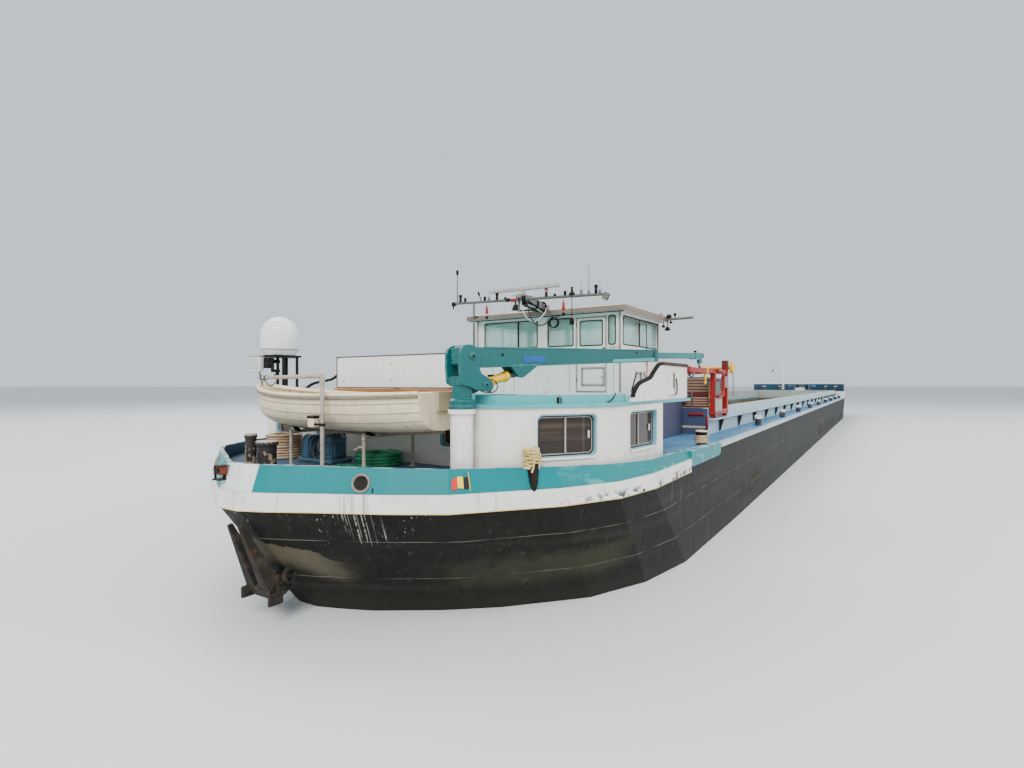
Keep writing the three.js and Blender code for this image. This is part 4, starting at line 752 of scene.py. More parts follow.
def ropePiece(name, points, diameter, finish, body, lobes=3):
    # points and diameter are already in the model's metres
    mesh = sweep(points, diameter / 2, lobes=lobes, twist=0.5 if lobes else 0.0)
    mesh.name = name
    mesh.materials.clear()
    mesh.materials.append(finishes[finish])
    mesh.polygons.foreach_set("use_smooth", [True] * len(mesh.polygons))
    made = bpy.data.objects.new(name, mesh)
    bpy.context.scene.collection.objects.link(made)
    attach(made, body)
    return made


def evenly(points, step):
    # the same line with points a step apart
    line = [Vector(points[0])]
    left = step
    for start, end in zip(points, points[1:]):
        start, end = Vector(start), Vector(end)
        run = (end - start).length
        at = left
        while at <= run:
            line.append(start.lerp(end, at / run))
            at += step
        left = at - run
    if (Vector(points[-1]) - line[-1]).length > step * 0.3:
        line.append(Vector(points[-1]))
    return line


def lineLength(points):
    return sum((Vector(b) - Vector(a)).length for a, b in zip(points, points[1:]))


# Ropes that lie coiled on the aft deck
coils = [
    {"name": "ropeCoilGreen", "node": "rope_coil_green", "centre": (2.45, -0.18), "inner": 0.19, "outer": 0.37,
     "diameter": 0.05, "layers": 4, "turns": 3, "finish": "rope_green", "start": 200, "lead": 0.5},
    {"name": "ropeCoilBrown", "node": "rope_coil_brown", "centre": (2.2, 1.9), "inner": 0.18, "outer": 0.297,
     "diameter": 0.046, "layers": 9, "turns": 2, "finish": "rope_brown", "start": 190, "lead": 0.4},
]
coilDeck = 2.901


def coilRoute(coil):
    # layer on layer, each one a flat spiral that runs in and then out again
    def lay(reach, height):
        x, y = coil["centre"]
        return Vector((x + reach * math.cos(angle), y + reach * math.sin(angle), height))

    half = coil["diameter"] / 2
    pitch = coil["diameter"] * 1.02
    angle = math.radians(coil["start"])
    # the loose end runs in along the tangent of the first turn
    first = lay(coil["outer"], coilDeck + half)
    run = Vector((math.sin(angle), -math.cos(angle), 0))
    route = [first + run * coil["lead"] * share for share in (1.0, 0.75, 0.5, 0.25)]
    perTurn = 16
    for layer in range(coil["layers"]):
        inward = layer % 2 == 0
        steps = int((coil["turns"] + 0.5) * perTurn)
        low = coilDeck + half + layer * pitch
        for i in range(steps + 1):
            share = i / steps
            if not inward:
                share = 1 - share
            reach = coil["outer"] + (coil["inner"] - coil["outer"]) * share
            route.append(lay(reach, low))
            angle += math.tau / perTurn
        if layer < coil["layers"] - 1:  # half a turn to climb to the next layer
            for i in range(1, perTurn // 2):
                rise = (1 - math.cos(math.pi * i / (perTurn // 2))) / 2
                route.append(lay(reach, low + rise * pitch))
                angle += math.tau / perTurn
    return route


def whipping(name, points, diameter, body):
    # a few turns of dark twine that close a rope's end
    end = Piece(name, body)
    tip, before = (Vector(p) for p in (points[-1], points[-2]))
    along = (tip - before).normalized()
    for i in range(5):
        middle = tip - along * diameter * (0.1 + 0.28 * i)
        end.turned("rubber", [(diameter * 0.5, -diameter * 0.13), (diameter * 0.6, -diameter * 0.06),
                              (diameter * 0.6, diameter * 0.06), (diameter * 0.5, diameter * 0.13)],
                   middle, along, 12)
    end.turned("rubber", [(0, diameter * 0.1), (diameter * 0.3, diameter * 0.08), (diameter * 0.5, 0),
                          (diameter * 0.5, -diameter * 0.1)], tip, along, 12)
    return end.done()


for coil in coils:
    shipLine = evenly(smoothed(coilRoute(coil), 2), coil["diameter"] * 0.35)
    line = [inModel(*point) for point in shipLine]
    thick = coil["diameter"] * modelScale
    rope = ropePiece(coil["name"], line, thick, coil["finish"], "hull")
    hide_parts(coil["node"])
    end = whipping(coil["name"] + "End", shipLine, coil["diameter"], "hull")
    print("stage:", coil["name"], round(lineLength(line), 2), "m")


def onSide(point, along, lean=0.3):
    # a place on leaning side plating: x runs along the plate, y up it, z out of it
    flat = Vector((along[0], along[1], 0)).normalized()
    out = Vector((flat.y, -flat.x, 0))
    up = (Vector((0, 0, 1)) - out * lean).normalized()
    out = flat.cross(up).normalized()
    place = Matrix((flat, up, out)).transposed().to_4x4()
    place.translation = point
    return place


# Blank board in its frame, on a wooden sill
board = {"x": 2.95, "half": 1.4, "foot": 4.125, "top": 4.7}


def nameBoard():
    piece = Piece("boardBlank")
    foot, top = board["foot"], board["top"]
    piece.block("board_white", (board["x"] - 0.008, -board["half"] + 0.01, foot + 0.01),
                (board["x"] + 0.012, board["half"] - 0.01, top - 0.01), 0.004)
    piece.ring("blind_grey", 2 * board["half"], top - foot, 0.012, 0.02, 0.034,
               placed(board["x"] + 0.014, 0, (foot + top) / 2), 0.006)
    piece.block("wood", (2.9, -1.43, 4.052), (3.0, 1.43, 4.12), 0.012, segments=2)
    for y in (-1.2, 0.0, 1.2):
        piece.block("steel", (3.03, y - 0.035, 3.932), (3.11, y + 0.035, 4.62), 0.01)
        for z in (4.26, 4.54):
            piece.block("steel", (2.962, y - 0.025, z - 0.02), (3.04, y + 0.025, z + 0.02), 0.006)
            piece.turned("steel", [(0, 0), (0.014, 0), (0.014, 0.006), (0, 0.01)], (2.942, y, z), (-1, 0, 0), 8)
    return piece.done("white", ["name_board"])


# Rounded frames round the deckhouse windows
houseFrames = {
    "centre": 3.49, "height": 0.58,
    "windows": [  # x, y, width, turn, where the bar between the sliding panes stands
        (2.864, -3.405, 0.935, 57.0, 0.5), (4.577, -3.867, 1.04, 86.1, 0.44), (4.577, 3.867, 1.04, -86.1, 0.56),
        (2.9, -1.5, 0.8, 0.0, 0.5), (2.9, 1.5, 0.8, 0.0, 0.5), (2.9, 2.9, 0.5, 0.0, None)],
}


def houseWindows():
    rims, seals = Piece("windowRims"), Piece("windowFrames")
    high = houseFrames["height"]
    for x, y, wide, turn, bar in houseFrames["windows"]:
        place = placed(x, y, houseFrames["centre"], turn)

        def inside(depth):
            return place @ Matrix.Translation((depth, 0, 0))

        rims.ring("white", wide + 0.085, high + 0.085, 0.13, 0.036, 0.016, place, 0.007)
        rims.ring("rim_blue", wide + 0.02, high + 0.02, 0.1, 0.024, 0.068, inside(0.072), 0.004)
        seals.ring("rubber", wide - 0.024, high - 0.024, 0.085, 0.02, 0.016, inside(0.079), 0.004)
        seals.ring("alu", wide - 0.06, high - 0.06, 0.07, 0.016, 0.01, inside(0.079), 0.003)
        if bar is not None:
            sign = -1 if -90 < turn < 0 else 1
            at = (0.5 - bar) * wide * sign
            seals.block("alu", (0.062, at - 0.014, -high / 2 + 0.03), (0.079, at + 0.014, high / 2 - 0.03), 0.004,
                        place)
            grip = at - 0.4 * wide * sign
            seals.block("white", (0.052, grip - 0.012, -0.05), (0.076, grip + 0.012, 0.06), 0.006, place)
    rims.done("white")
    return seals.done("black")


# Dark rubber on the wing walls' rising edges, their pressed panels and small boxes
wing = {"edge": [(4.09, 4.0), (4.12, 4.06), (4.25, 4.16), (4.41, 4.22), (4.85, 4.3), (5.01, 4.39), (5.25, 4.51),
                 (5.36, 4.535), (5.44, 4.54)],
        "panel": [(5.01, 3.97), (5.66, 3.97), (5.66, 4.37), (5.14, 4.37), (5.01, 4.24)]}


def wingTrim():
    piece = Piece("wingTrim")
    for side in (-1, 1):
        edge = [(x, side * 3.87, z) for x, z in wing["edge"]]
        piece.tube("rubber", smoothed(edge, 3), 0.038, sides=12)
        piece.tube("rubber_brown", [(5.42, side * 3.898, 4.55), (6.86, side * 3.898, 4.55)], 0.032, sides=12)
        panel = [(x, side * 3.901, z) for x, z in wing["panel"]]
        piece.tube("white", smoothed([*panel, panel[0]], 5), 0.009)
        piece.block("white", (5.72, side * 3.91 - 0.03, 4.0), (5.95, side * 3.91 + 0.03, 4.12), 0.012)
        piece.block("steel", (5.99, side * 3.905 - 0.02, 3.99), (6.03, side * 3.905 + 0.02, 4.4), 0.008)
        piece.tube("hose_black", smoothed([(5.95, side * 3.92, 4.05), (6.1, side * 3.925, 4.02),
                                           (6.16, side * 3.92, 4.12), (6.15, side * 3.91, 4.3)], 4), 0.012)
    # a clip and a short lead on the roof's raised edge
    along = Vector((0.84, -0.54, 0))
    outward = Vector((-0.54, -0.84, 0))
    turned = Matrix((along, outward, Vector((0, 0, 1)))).transposed().to_4x4()
    place = Matrix.Translation((2.811, -3.298, 3.967)) @ turned
    piece.block("black", (-0.036, -0.006, -0.05), (0.036, 0.022, 0.052), 0.008, place)
    piece.block("steel", (-0.012, 0.018, -0.07), (0.012, 0.034, 0.075), 0.005, place)
    piece.tube("hose_black", smoothed([(3.52, -3.712, 3.94), (3.62, -3.733, 3.97), (3.7, -3.742, 4.03),
                                       (3.76, -3.73, 4.062), (3.82, -3.69, 4.062)], 4), 0.009)
    return piece.done("black")


# Wheelhouse outside: window seals, door frame, corner posts, seams and a small hatch
aftFace = 8.15
wheel = {
    "panes": [(0.175, 1.775, 5.12, 5.78), (-0.82, -0.14, 5.12, 5.78), (-1.9, -1.74, 5.12, 5.78)],
    "sidePanes": [(8.29, 9.31), (9.35, 10.71)], "seams": [-0.72, -1.86, 0.86, 1.5],
    "hatch": (-1.64, -1.03, 4.15, 4.6), "door": (-1.69, -0.89, 4.0, 5.79),
}


def wheelhouseTrim():
    piece = Piece("wheelhouseTrim")
    for low, high, foot, top in wheel["panes"]:
        piece.ring("rubber", high - low + 0.03, top - foot + 0.03, 0.05, 0.026, 0.02,
                   placed(aftFace + 0.004, (low + high) / 2, (foot + top) / 2), 0.006)
    piece.block("rubber", (aftFace - 0.014, 0.724, 5.12), (aftFace + 0.03, 0.752, 5.78), 0.005)
    piece.block("white", (aftFace - 0.03, -0.118, 4.0), (aftFace + 0.01, 0.012, 5.85), 0.012)
    for side in (-1, 1):
        for start, end in wheel["sidePanes"]:
            piece.ring("rubber", end - start + 0.03, 0.69, 0.05, 0.026, 0.018,
                       placed((start + end) / 2, side * 2.026, 5.45, 90 * -side), 0.006)
        piece.block("trim_grey", (aftFace - 0.016, side * 2.01 - 0.026, 4.0),
                    (aftFace + 0.03, side * 2.01 + 0.026, 5.855),
                    0.01, segments=2)
        piece.block("trim_grey", (10.77, side * 2.01 - 0.026, 4.0), (10.815, side * 2.01 + 0.026, 5.855), 0.01)
        piece.block("steel", (8.3, side * 2.05 - 0.014, 5.7), (10.7, side * 2.05 + 0.014, 5.73), 0.005)
        piece.block("white", (9.08, side * 2.07 - 0.05, 4.48), (9.56, side * 2.07 + 0.05, 4.68), 0.02)
        piece.bar("steel", (9.32, side * 2.08, 3.935), (9.32, side * 2.08, 4.5), 0.02)
        piece.tube("hose_black", smoothed([(9.5, side * 2.09, 4.5), (9.62, side * 2.1, 4.3), (9.75, side * 2.09, 4.6),
                                           (9.8, side * 2.06, 5.1), (9.8, side * 2.045, 5.7)], 5), 0.012)
        piece.tube("orange_cable", smoothed([(9.52, side * 2.1, 4.6), (9.66, side * 2.11, 4.72),
                                             (9.7, side * 2.1, 4.5), (9.66, side * 2.08, 4.1)], 5), 0.014)
    for y in wheel["seams"]:
        piece.block("seam_grey", (aftFace - 0.004, y - 0.006, 4.0), (aftFace + 0.006, y + 0.006, 5.06), 0.001)
    piece.block("seam_grey", (aftFace - 0.012, -2.0, 5.045), (aftFace + 0.006, -1.74, 5.06), 0.003)
    piece.block("seam_grey", (aftFace - 0.012, -0.84, 5.045), (aftFace + 0.006, 2.0, 5.06), 0.003)
    return piece.done("black")


def wheelhouseDoor():
    # frame lines, window seal, blind, hatch panel and handle on the moving leaf
    low, high, foot, top = wheel["door"]
    leaf = Piece("wheelhouseDoorTrim", "bridge_door")
    face = aftFace + 0.004
    leaf.ring("trim_grey", high - low - 0.04, top - foot - 0.04, 0.02, 0.022, 0.008,
              placed(face, (low + high) / 2, (foot + top) / 2), 0.003)
    leaf.ring("rubber", 0.6, 0.61, 0.05, 0.026, 0.012, placed(face, (low + high) / 2, 5.4), 0.004)
    leaf.block("clear_glass", (face + 0.012, low + 0.115, 5.11), (face + 0.02, high - 0.115, 5.7), 0.002)
    leaf.block("blind_grey", (face + 0.022, low + 0.14, 5.52), (face + 0.034, high - 0.14, 5.68), 0.003)
    hl, hr, hf, ht = wheel["hatch"]
    leaf.ring("trim_grey", hr - hl, ht - hf, 0.03, 0.05, 0.014, placed(face, (hl + hr) / 2, (hf + ht) / 2), 0.005)
    leaf.block("white", (face - 0.008, hl + 0.07, hf + 0.07), (face + 0.004, hr - 0.07, ht - 0.07), 0.006)
    for y in (hl + 0.03, hr - 0.03):
        for z in (hf + 0.03, ht - 0.03):
            leaf.turned("steel", [(0, 0), (0.012, 0), (0.012, 0.006), (0, 0.01)], (face - 0.014, y, z), (-1, 0, 0), 8)
    leaf.bar("steel", (face - 0.03, low + 0.12, 4.36), (face, low + 0.12, 4.36), 0.014)
    leaf.block("black", (face - 0.012, low + 0.05, 4.86), (face + 0.002, low + 0.11, 5.05), 0.005)
    leaf.tube("steel", smoothed([(face, low + 0.08, 5.0), (face - 0.045, low + 0.08, 4.99),
                                 (face - 0.045, low + 0.2, 4.98)], 3), 0.012)
    for z in (4.3, 5.0, 5.6):
        leaf.bar("black", (face - 0.011, high - 0.03, z - 0.05), (face - 0.011, high - 0.03, z + 0.05), 0.009)
    return leaf.done("white")


def wheelhouseRoof():
    piece = Piece("wheelhouseFascia")
    for side in (-1, 1):
        piece.block("fascia", (7.945, side * 2.215 - 0.012, 5.868), (11.055, side * 2.215 + 0.012, 5.985), 0.006)
    for x in (7.942, 11.058):
        piece.block("fascia", (x - 0.012, -2.22, 5.868), (x + 0.012, 2.22, 5.985), 0.006)
    piece.block("rubber", (7.99, -2.16, 5.842), (8.03, 2.16, 5.8605), 0.004)
    for y in (-1.5, -0.5, 0.5, 1.5):
        piece.block("white", (8.2, y - 0.02, 6.018), (10.8, y + 0.02, 6.032), 0.006)
    for x, y in ((10.4, 1.3), (9.3, -1.2)):
        piece.turned("white", [(0, 0), (0.14, 0), (0.14, 0.05), (0.1, 0.1), (0.05, 0.12), (0, 0.12)], (x, y, 6.021))
    return piece.done("white")


nameBoard()
houseWindows()
wingTrim()
wheelhouseTrim()
wheelhouseDoor()
wheelhouseRoof()
print("stage: deckhouse and wheelhouse trim")


# Deck crane: cast head with its forked ears, boom flanges, blank plate, cylinder ends and hose
craneParts = {
    "cheek": [(-0.135, 4.2), (0.15, 4.12), (0.36, 4.09), (0.4, 4.16), (0.38, 4.25), (0.2, 4.34), (0.165, 4.42),
              (0.165, 4.6), (0.13, 4.675), (0.06, 4.71), (-0.05, 4.71), (-0.12, 4.67), (-0.155, 4.6), (-0.155, 4.4)],
    "ear": 0.158, "pin": (0.05, 4.56), "foot": (0.27, 4.19), "eye": (0.95, 4.36),
}


def discOutline(centre, radius, steps, start=0.0, sweepAngle=360.0):
    return [(centre[0] + radius * math.cos(math.radians(start + sweepAngle * i / steps)),
             centre[1] + radius * math.sin(math.radians(start + sweepAngle * i / steps))) for i in range(steps)]


def craneHead():
    piece = Piece("craneHeadCast", "crane_head", craneFrame)
    piece.turned("crane_teal", [(0, 3.872), (0.165, 3.872), (0.172, 3.884), (0.172, 3.915), (0.16, 3.925),
                                (0.16, 3.945), (0.17, 3.955), (0.17, 3.985), (0.155, 4.0), (0.132, 4.01),
                                (0.128, 4.2), (0.136, 4.26), (0.136, 4.3), (0, 4.3)], steps=32)
    for y in (-0.172, 0.132):
        piece.plate("crane_teal", craneParts["cheek"], "side", y, y + 0.04, corner=0.02, bevel=0.006)
    piece.block("crane_teal", (-0.13, -0.135, 4.17), (0.12, 0.135, 4.3), 0.02)
    piece.plate("crane_teal", [(0.1, 4.0), (0.2, 4.12), (0.1, 4.22)], "side", -0.02, 0.02, bevel=0.004)
    footX, footZ = craneParts["foot"]
    piece.bar("crane_teal", (footX, -0.15, footZ), (footX, 0.15, footZ), 0.025)
    for y, out in ((-0.176, -1), (0.176, 1)):
        for (x, z), radius in ((craneParts["pin"], 0.052), (craneParts["foot"], 0.04)):
            piece.turned("crane_teal", [(0, 0), (radius, 0), (radius, 0.012), (radius * 0.8, 0.022), (0, 0.022)],
                         (x, y - out * 0.006, z), (0, out, 0), 18)
            piece.turned("black", [(0, 0), (radius * 0.42, 0), (radius * 0.42, 0.007), (0, 0.007)],
                         (x, y + out * 0.013, z), (0, out, 0), 12)
    for angle in range(0, 360, 60):
        x, y = 0.15 * math.cos(math.radians(angle)), 0.15 * math.sin(math.radians(angle))
        piece.turned("steel", [(0, 0), (0.012, 0), (0.012, 0.008), (0, 0.012)], (x, y, 3.986), (0, 0, 1), 6)
    return piece.done("crane_teal", ["crane_head"])


def craneBoomTrim():
    piece = Piece("craneBoomTrim", "crane_boom", craneFrame)
    ear = discOutline(craneParts["pin"], craneParts["ear"], 28)
    for y in (-0.1, -0.025, 0.05):  # between the cheeks
        piece.plate("crane_teal", ear, "side", y, y + 0.05, bevel=0.006)
    for side in (-1, 1):
        # the flanges along the boom's top edges are drawn in the lighter crane paint as a painted highlight
        flange = [(0.3, 4.678), (4.13, 4.788), (4.13, 4.806), (0.3, 4.698)]
        piece.plate("crane_light", flange, "side", side * 0.112 - 0.006, side * 0.112 + 0.006, bevel=0.002)
        low = [(0.36, 4.418), (4.13, 4.596), (4.13, 4.612), (0.36, 4.434)]
        piece.plate("crane_teal", low, "side", side * 0.111 - 0.005, side * 0.111 + 0.005)
        patch = [(2.9, 4.548), (4.12, 4.605), (4.12, 4.66), (2.96, 4.602)]
        piece.plate("aqua", patch, "side", side * 0.112 - 0.003, side * 0.112 + 0.003, bevel=0.001)
        # black discs stand for holes in the boom's sides: painted shade inside them
        for x, z in ((4.02, 4.7), (4.06, 4.75), (3.55, 4.73), (0.6, 4.6)):
            piece.turned("black", [(0, 0), (0.022, 0), (0.022, 0.004), (0, 0.004)],
                         (x, side * 0.11, z), (0, side, 0), 12)
    plate = [(0.97, 4.5), (1.4, 4.515), (1.4, 4.605), (0.97, 4.6)]
    for y in (-0.115, 0.11):
        piece.plate("plate_blue", plate, "side", y, y + 0.005, bevel=0.001)
    for side in (-0.115, 0.075):  # eye that the cylinder pushes on
        piece.plate("crane_teal", [(0.72, 4.47), (0.9, 4.3), (0.95, 4.285), (1.0, 4.3), (1.3, 4.49)], "side", side,
                    side + 0.04, corner=0.012, bevel=0.004)
    for y, foot, width, top in ((-0.122, 4.59, 0.016, 4.81), (0.106, 4.59, 0.016, 4.81),
                                (-0.122, 4.79, 0.244, 4.812)):
        piece.block("crane_teal", (4.06, y, foot), (4.15, y + width, top), 0.004)  # collar at the boom's end
    return piece.done("crane_teal")


def craneTip():
    piece = Piece("craneTipTrim", "crane_extension", craneFrame)
    piece.block("black", (5.5, -0.02, 4.81), (5.56, 0.02, 4.85), 0.006)
    cheek = [(5.42, 4.68), (5.66, 4.685), (5.72, 4.72), (5.72, 4.795), (5.42, 4.8)]
    for y in (-0.075, 0.062):
        piece.plate("crane_light", cheek, "side", y, y + 0.013, bevel=0.003)
    piece.turned("steel", [(0, 0), (0.028, 0), (0.028, 0.01), (0, 0.014)], (5.69, -0.07, 4.75), (0, -1, 0), 12)
    hook = [(5.69, 0, 4.66), (5.69, 0, 4.62), (5.66, 0, 4.59), (5.66, 0, 4.55), (5.69, 0, 4.53), (5.725, 0, 4.545)]
    piece.tube("black", smoothed(hook, 4), 0.014)
    return piece.done("aqua")


def craneCylinder():
    barrel = Piece("luffBarrelTrim", "luff_barrel", craneFrame)
    foot, eyeAt = [Vector((craneParts[name][0], 0, craneParts[name][1])) for name in ("foot", "eye")]
    run = (eyeAt - foot).normalized()
    barrel.turned("yellow", [(0.04, 0.44), (0.072, 0.44), (0.075, 0.452), (0.075, 0.5), (0.07, 0.518), (0.04, 0.522)],
                  foot, run, 24)
    barrel.turned("yellow", [(0.05, 0.04), (0.07, 0.05), (0.07, 0.08), (0.062, 0.09)], foot, run, 24)
    for y in (-0.055, 0.041):
        barrel.turned("crane_teal", [(0.028, 0), (0.068, 0), (0.068, 0.014), (0.028, 0.014)],
                      foot + Vector((0, y, 0)), (0, 1, 0), 20)
    valve = foot + run * 0.2
    barrel.block("black", valve + Vector((-0.02, -0.03, 0.06)), valve + Vector((0.05, 0.03, 0.09)), 0.006)
    barrel.done("yellow")
    rod = Piece("luffRodTrim", "luff_rod", craneFrame)
    rod.turned("steel", [(0, 0), (0.03, 0), (0.03, 0.012), (0, 0.016)], eyeAt + Vector((0, -0.036, 0)), (0, -1, 0),
               14)
    return rod.done("steel")


# Hydraulic hose that hangs from the crane's head to its cylinder, and a second one beside it
hose = {"diameter": 0.017, "sides": {"craneHoseOuter": -1, "craneHoseInner": 1},
        "route": [(0.16, 0.155, 4.13), (0.2, 0.185, 4.1), (0.3, 0.195, 4.085), (0.4, 0.19, 4.1), (0.46, 0.175, 4.16),
                  (0.44, 0.16, 4.23), (0.36, 0.16, 4.27)]}


def craneHoses():
    thick = hose["diameter"] * modelScale
    for name, side in hose["sides"].items():
        points = [craneFrame @ point for point in smoothed([(x, side * y, z) for x, y, z in hose["route"]], 4)]
        line = evenly([inModel(*point) for point in points], 0.006)
        made = ropePiece(name, line, thick, "hose_black", "crane_head", lobes=0)


def craneColumn():
    x, y, _ = craneFrame.translation
    piece = Piece("craneColumnTrim")
    piece.turned("white", [(0.15, 2.95), (0.156, 2.95), (0.156, 3.0), (0.15, 3.01)], (x, y, 0), steps=32)
    for angle in range(0, 360, 45):
        turn = math.radians(angle)
        piece.turned("steel", [(0, 0), (0.016, 0), (0.016, 0.012), (0, 0.016)],
                     (x + 0.175 * math.cos(turn), y + 0.175 * math.sin(turn), 2.951), (0, 0, 1), 6)
    piece.block("seam_grey", (1.66, -2.404, 3.02), (1.668, -2.396, 3.8), 0.001)
    return piece.done("white")


craneHead()
craneBoomTrim()
craneTip()
craneCylinder()
craneHoses()
craneColumn()
print("stage: crane")


# Stern fittings on the bulwark: mooring rings, scupper, flag painted on, and the stern lamp
sideFittings = {  # a point on the bulwark, and the way the plate runs there
    "ring": ((0.805, -1.6, 2.968), (0.455, -0.89)), "scupper": ((0.865, -1.765, 2.882), (0.52, -0.85)),
    "flag": ((1.366, -2.584, 2.871), (0.78, -0.625)),
}


def bulwarkFittings():
    for side, label in ((1, "Right"), (-1, "Left")):
        piece = Piece("mooringRings" + label, "hull", mirrorPort if side < 0 else None)
        place = onSide(*sideFittings["ring"])
        piece.turned("trim_beige", [(0.09, 0.0), (0.12, 0.0), (0.123, 0.012), (0.118, 0.026), (0.106, 0.032),
                                    (0.094, 0.026), (0.09, 0.012), (0.09, 0.0)], steps=32, place=place)
        # the black disc inside the ring and the black block at the scupper are painted shade of their openings
        piece.turned("black", [(0, 0.004), (0.092, 0.004), (0.092, 0.008), (0, 0.008)], steps=28, place=place)
        piece.block("black", (-0.03, -0.03, -0.004), (0.03, 0.035, 0.008), 0.012, onSide(*sideFittings["scupper"]), 2)
        piece.done("steel")
    flag = Piece("flagPainted")
    place = onSide(*sideFittings["flag"])
    strips = [("flag_red", 0.0, 0.075), ("flag_yellow", 0.075, 0.15), ("flag_black", 0.15, 0.225)]
    for finish, low, high in strips:
        columns = (low, low + 0.025, low + 0.05, high)
        foot, top = [[(u, level + 0.018 * math.sin((u - 0.02) * 26) + u * 0.18) for u in columns]
                     for level in (0.01, 0.155)]
        flag.plate(finish, foot + top[::-1], "plan", 0.001, 0.006, place=place)
    flag.plate("flag_yellow", [(0.228, 0.0), (0.238, 0.0), (0.226, 0.235), (0.216, 0.235)], "plan", 0.001, 0.009,
               place=place)
    flag.done("white")
    lamp = Piece("sternLamp", "hull", Matrix.Translation((0.032, -0.055, 0.025)))
    lamp.block("orange_rust", (-0.03, 0.17, 3.0), (0.07, 0.27, 3.11), 0.012)
    lamp.block("black", (-0.04, 0.16, 3.11), (0.09, 0.28, 3.124), 0.005)
    lamp.block("black", (-0.045, 0.27, 2.94), (-0.02, 0.3, 3.12), 0.006)
    lamp.block("black", (-0.06, 0.17, 2.93), (0.14, 0.32, 2.95), 0.006)
    lamp.block("black", (0.04, 0.2, 2.95), (0.15, 0.25, 3.0), 0.006)
    lamp.turned("black", [(0, 0), (0.035, 0), (0.035, 0.018), (0, 0.026)], (-0.03, 0.22, 3.06), (-1, 0, 0), 16)
    lamp.done("rust")


bulwarkFittings()


# Rubber fender hung over the side, with its straw rope wound round the top
fender = {"top": (2.28, -3.19, 3.16), "low": (2.18, -3.275, 2.82), "wound": (2.27, -3.17), "turns": 11, "rope": 0.024}


def hungFender():
    body = Piece("fenderBody")
    top, low = Vector(fender["top"]), Vector(fender["low"])
    aim = (low - top).normalized()
    long = (low - top).length
    body.turned("rubber", [(0, -0.16), (0.05, -0.16), (0.072, -0.1), (0.08, 0.0), (0.076, long * 0.3),
                           (0.055, long * 0.7), (0.03, long * 0.95), (0.012, long), (0, long + 0.005)], top, aim, 18)
    body.done("black")
    wound = Piece("fenderRope")
    x, y = fender["wound"]
    line = []
    steps = 18
    for i in range(fender["turns"] * steps + 1):
        share = i / (fender["turns"] * steps)
        angle = math.tau * i / steps
        reach = 0.094 + 0.009 * math.sin(i * 0.37) + (0.01 if share > 0.75 else 0)
        line.append((x + reach * math.cos(angle), y + reach * math.sin(angle),
                     3.09 + 0.27 * share + 0.006 * math.sin(i * 0.9)))
    wound.tube("rope_straw", line, fender["rope"] / 2, sides=8)
    for at in (x - 0.08, x + 0.07):  # loose strands
        wound.tube("rope_straw", smoothed([(at - 0.02, y - 0.075, 3.06), (at, y - 0.092, 3.14),
                                           (at + 0.02, y - 0.092, 3.25), (at, y - 0.06, 3.36)], 5), 0.013)
    return wound.done("rope_brown")


hungFender()


# Ship's boat: clinker hull with a rolled rail, inner lining, thwarts and a rudder post
boat = {"x": 1.9, "stations": [(-2.0, 0.5, 3.56, 4.08), (-1.0, 0.66, 3.49, 4.05), (0.3, 0.7, 3.49, 4.04),
                               (1.2, 0.55, 3.52, 4.08), (1.8, 0.27, 3.62, 4.14), (2.1, 0.04, 3.78, 4.2)],
        "section": [(1.0, 1.0), (0.985, 0.78), (0.955, 0.55), (0.89, 0.36), (0.76, 0.2), (0.54, 0.085), (0.28, 0.03),
                    (0.0, 0.0)], "strakes": (0.76, 0.52, 0.3)}


def boatLine():
    # stations drawn finer by one smooth line through each column
    rows = smoothed([(y, half, keel) for y, half, keel, _ in boat["stations"]], 6)
    rails = smoothed([(y, rail, 0) for y, _, _, rail in boat["stations"]], 6)
    return [(row.x, row.y, row.z, rail.y) for row, rail in zip(rows, rails)]


def boatPoint(station, breadth, height, side=1):
    y, half, keel, rail = station
    return boat["x"] + side * half * breadth, y, keel + (rail - keel) * height


def boatSection(station):
    # down one side and up the other, from rail to rail
    points = [boatPoint(station, b, h) for b, h in boat["section"]]
    return points + [boatPoint(station, b, h, -1) for b, h in boat["section"][-2::-1]]


def boatSkin():
    part = bmesh.new()
    loops = []
    for station in boatLine():
        verts = [part.verts.new(point) for point in boatSection(station)]
        loops.append([part.edges.new(ends) for ends in zip(verts, verts[1:])])
    for near, far in zip(loops, loops[1:]):
        bmesh.ops.bridge_loops(part, edges=near + far)
    return part


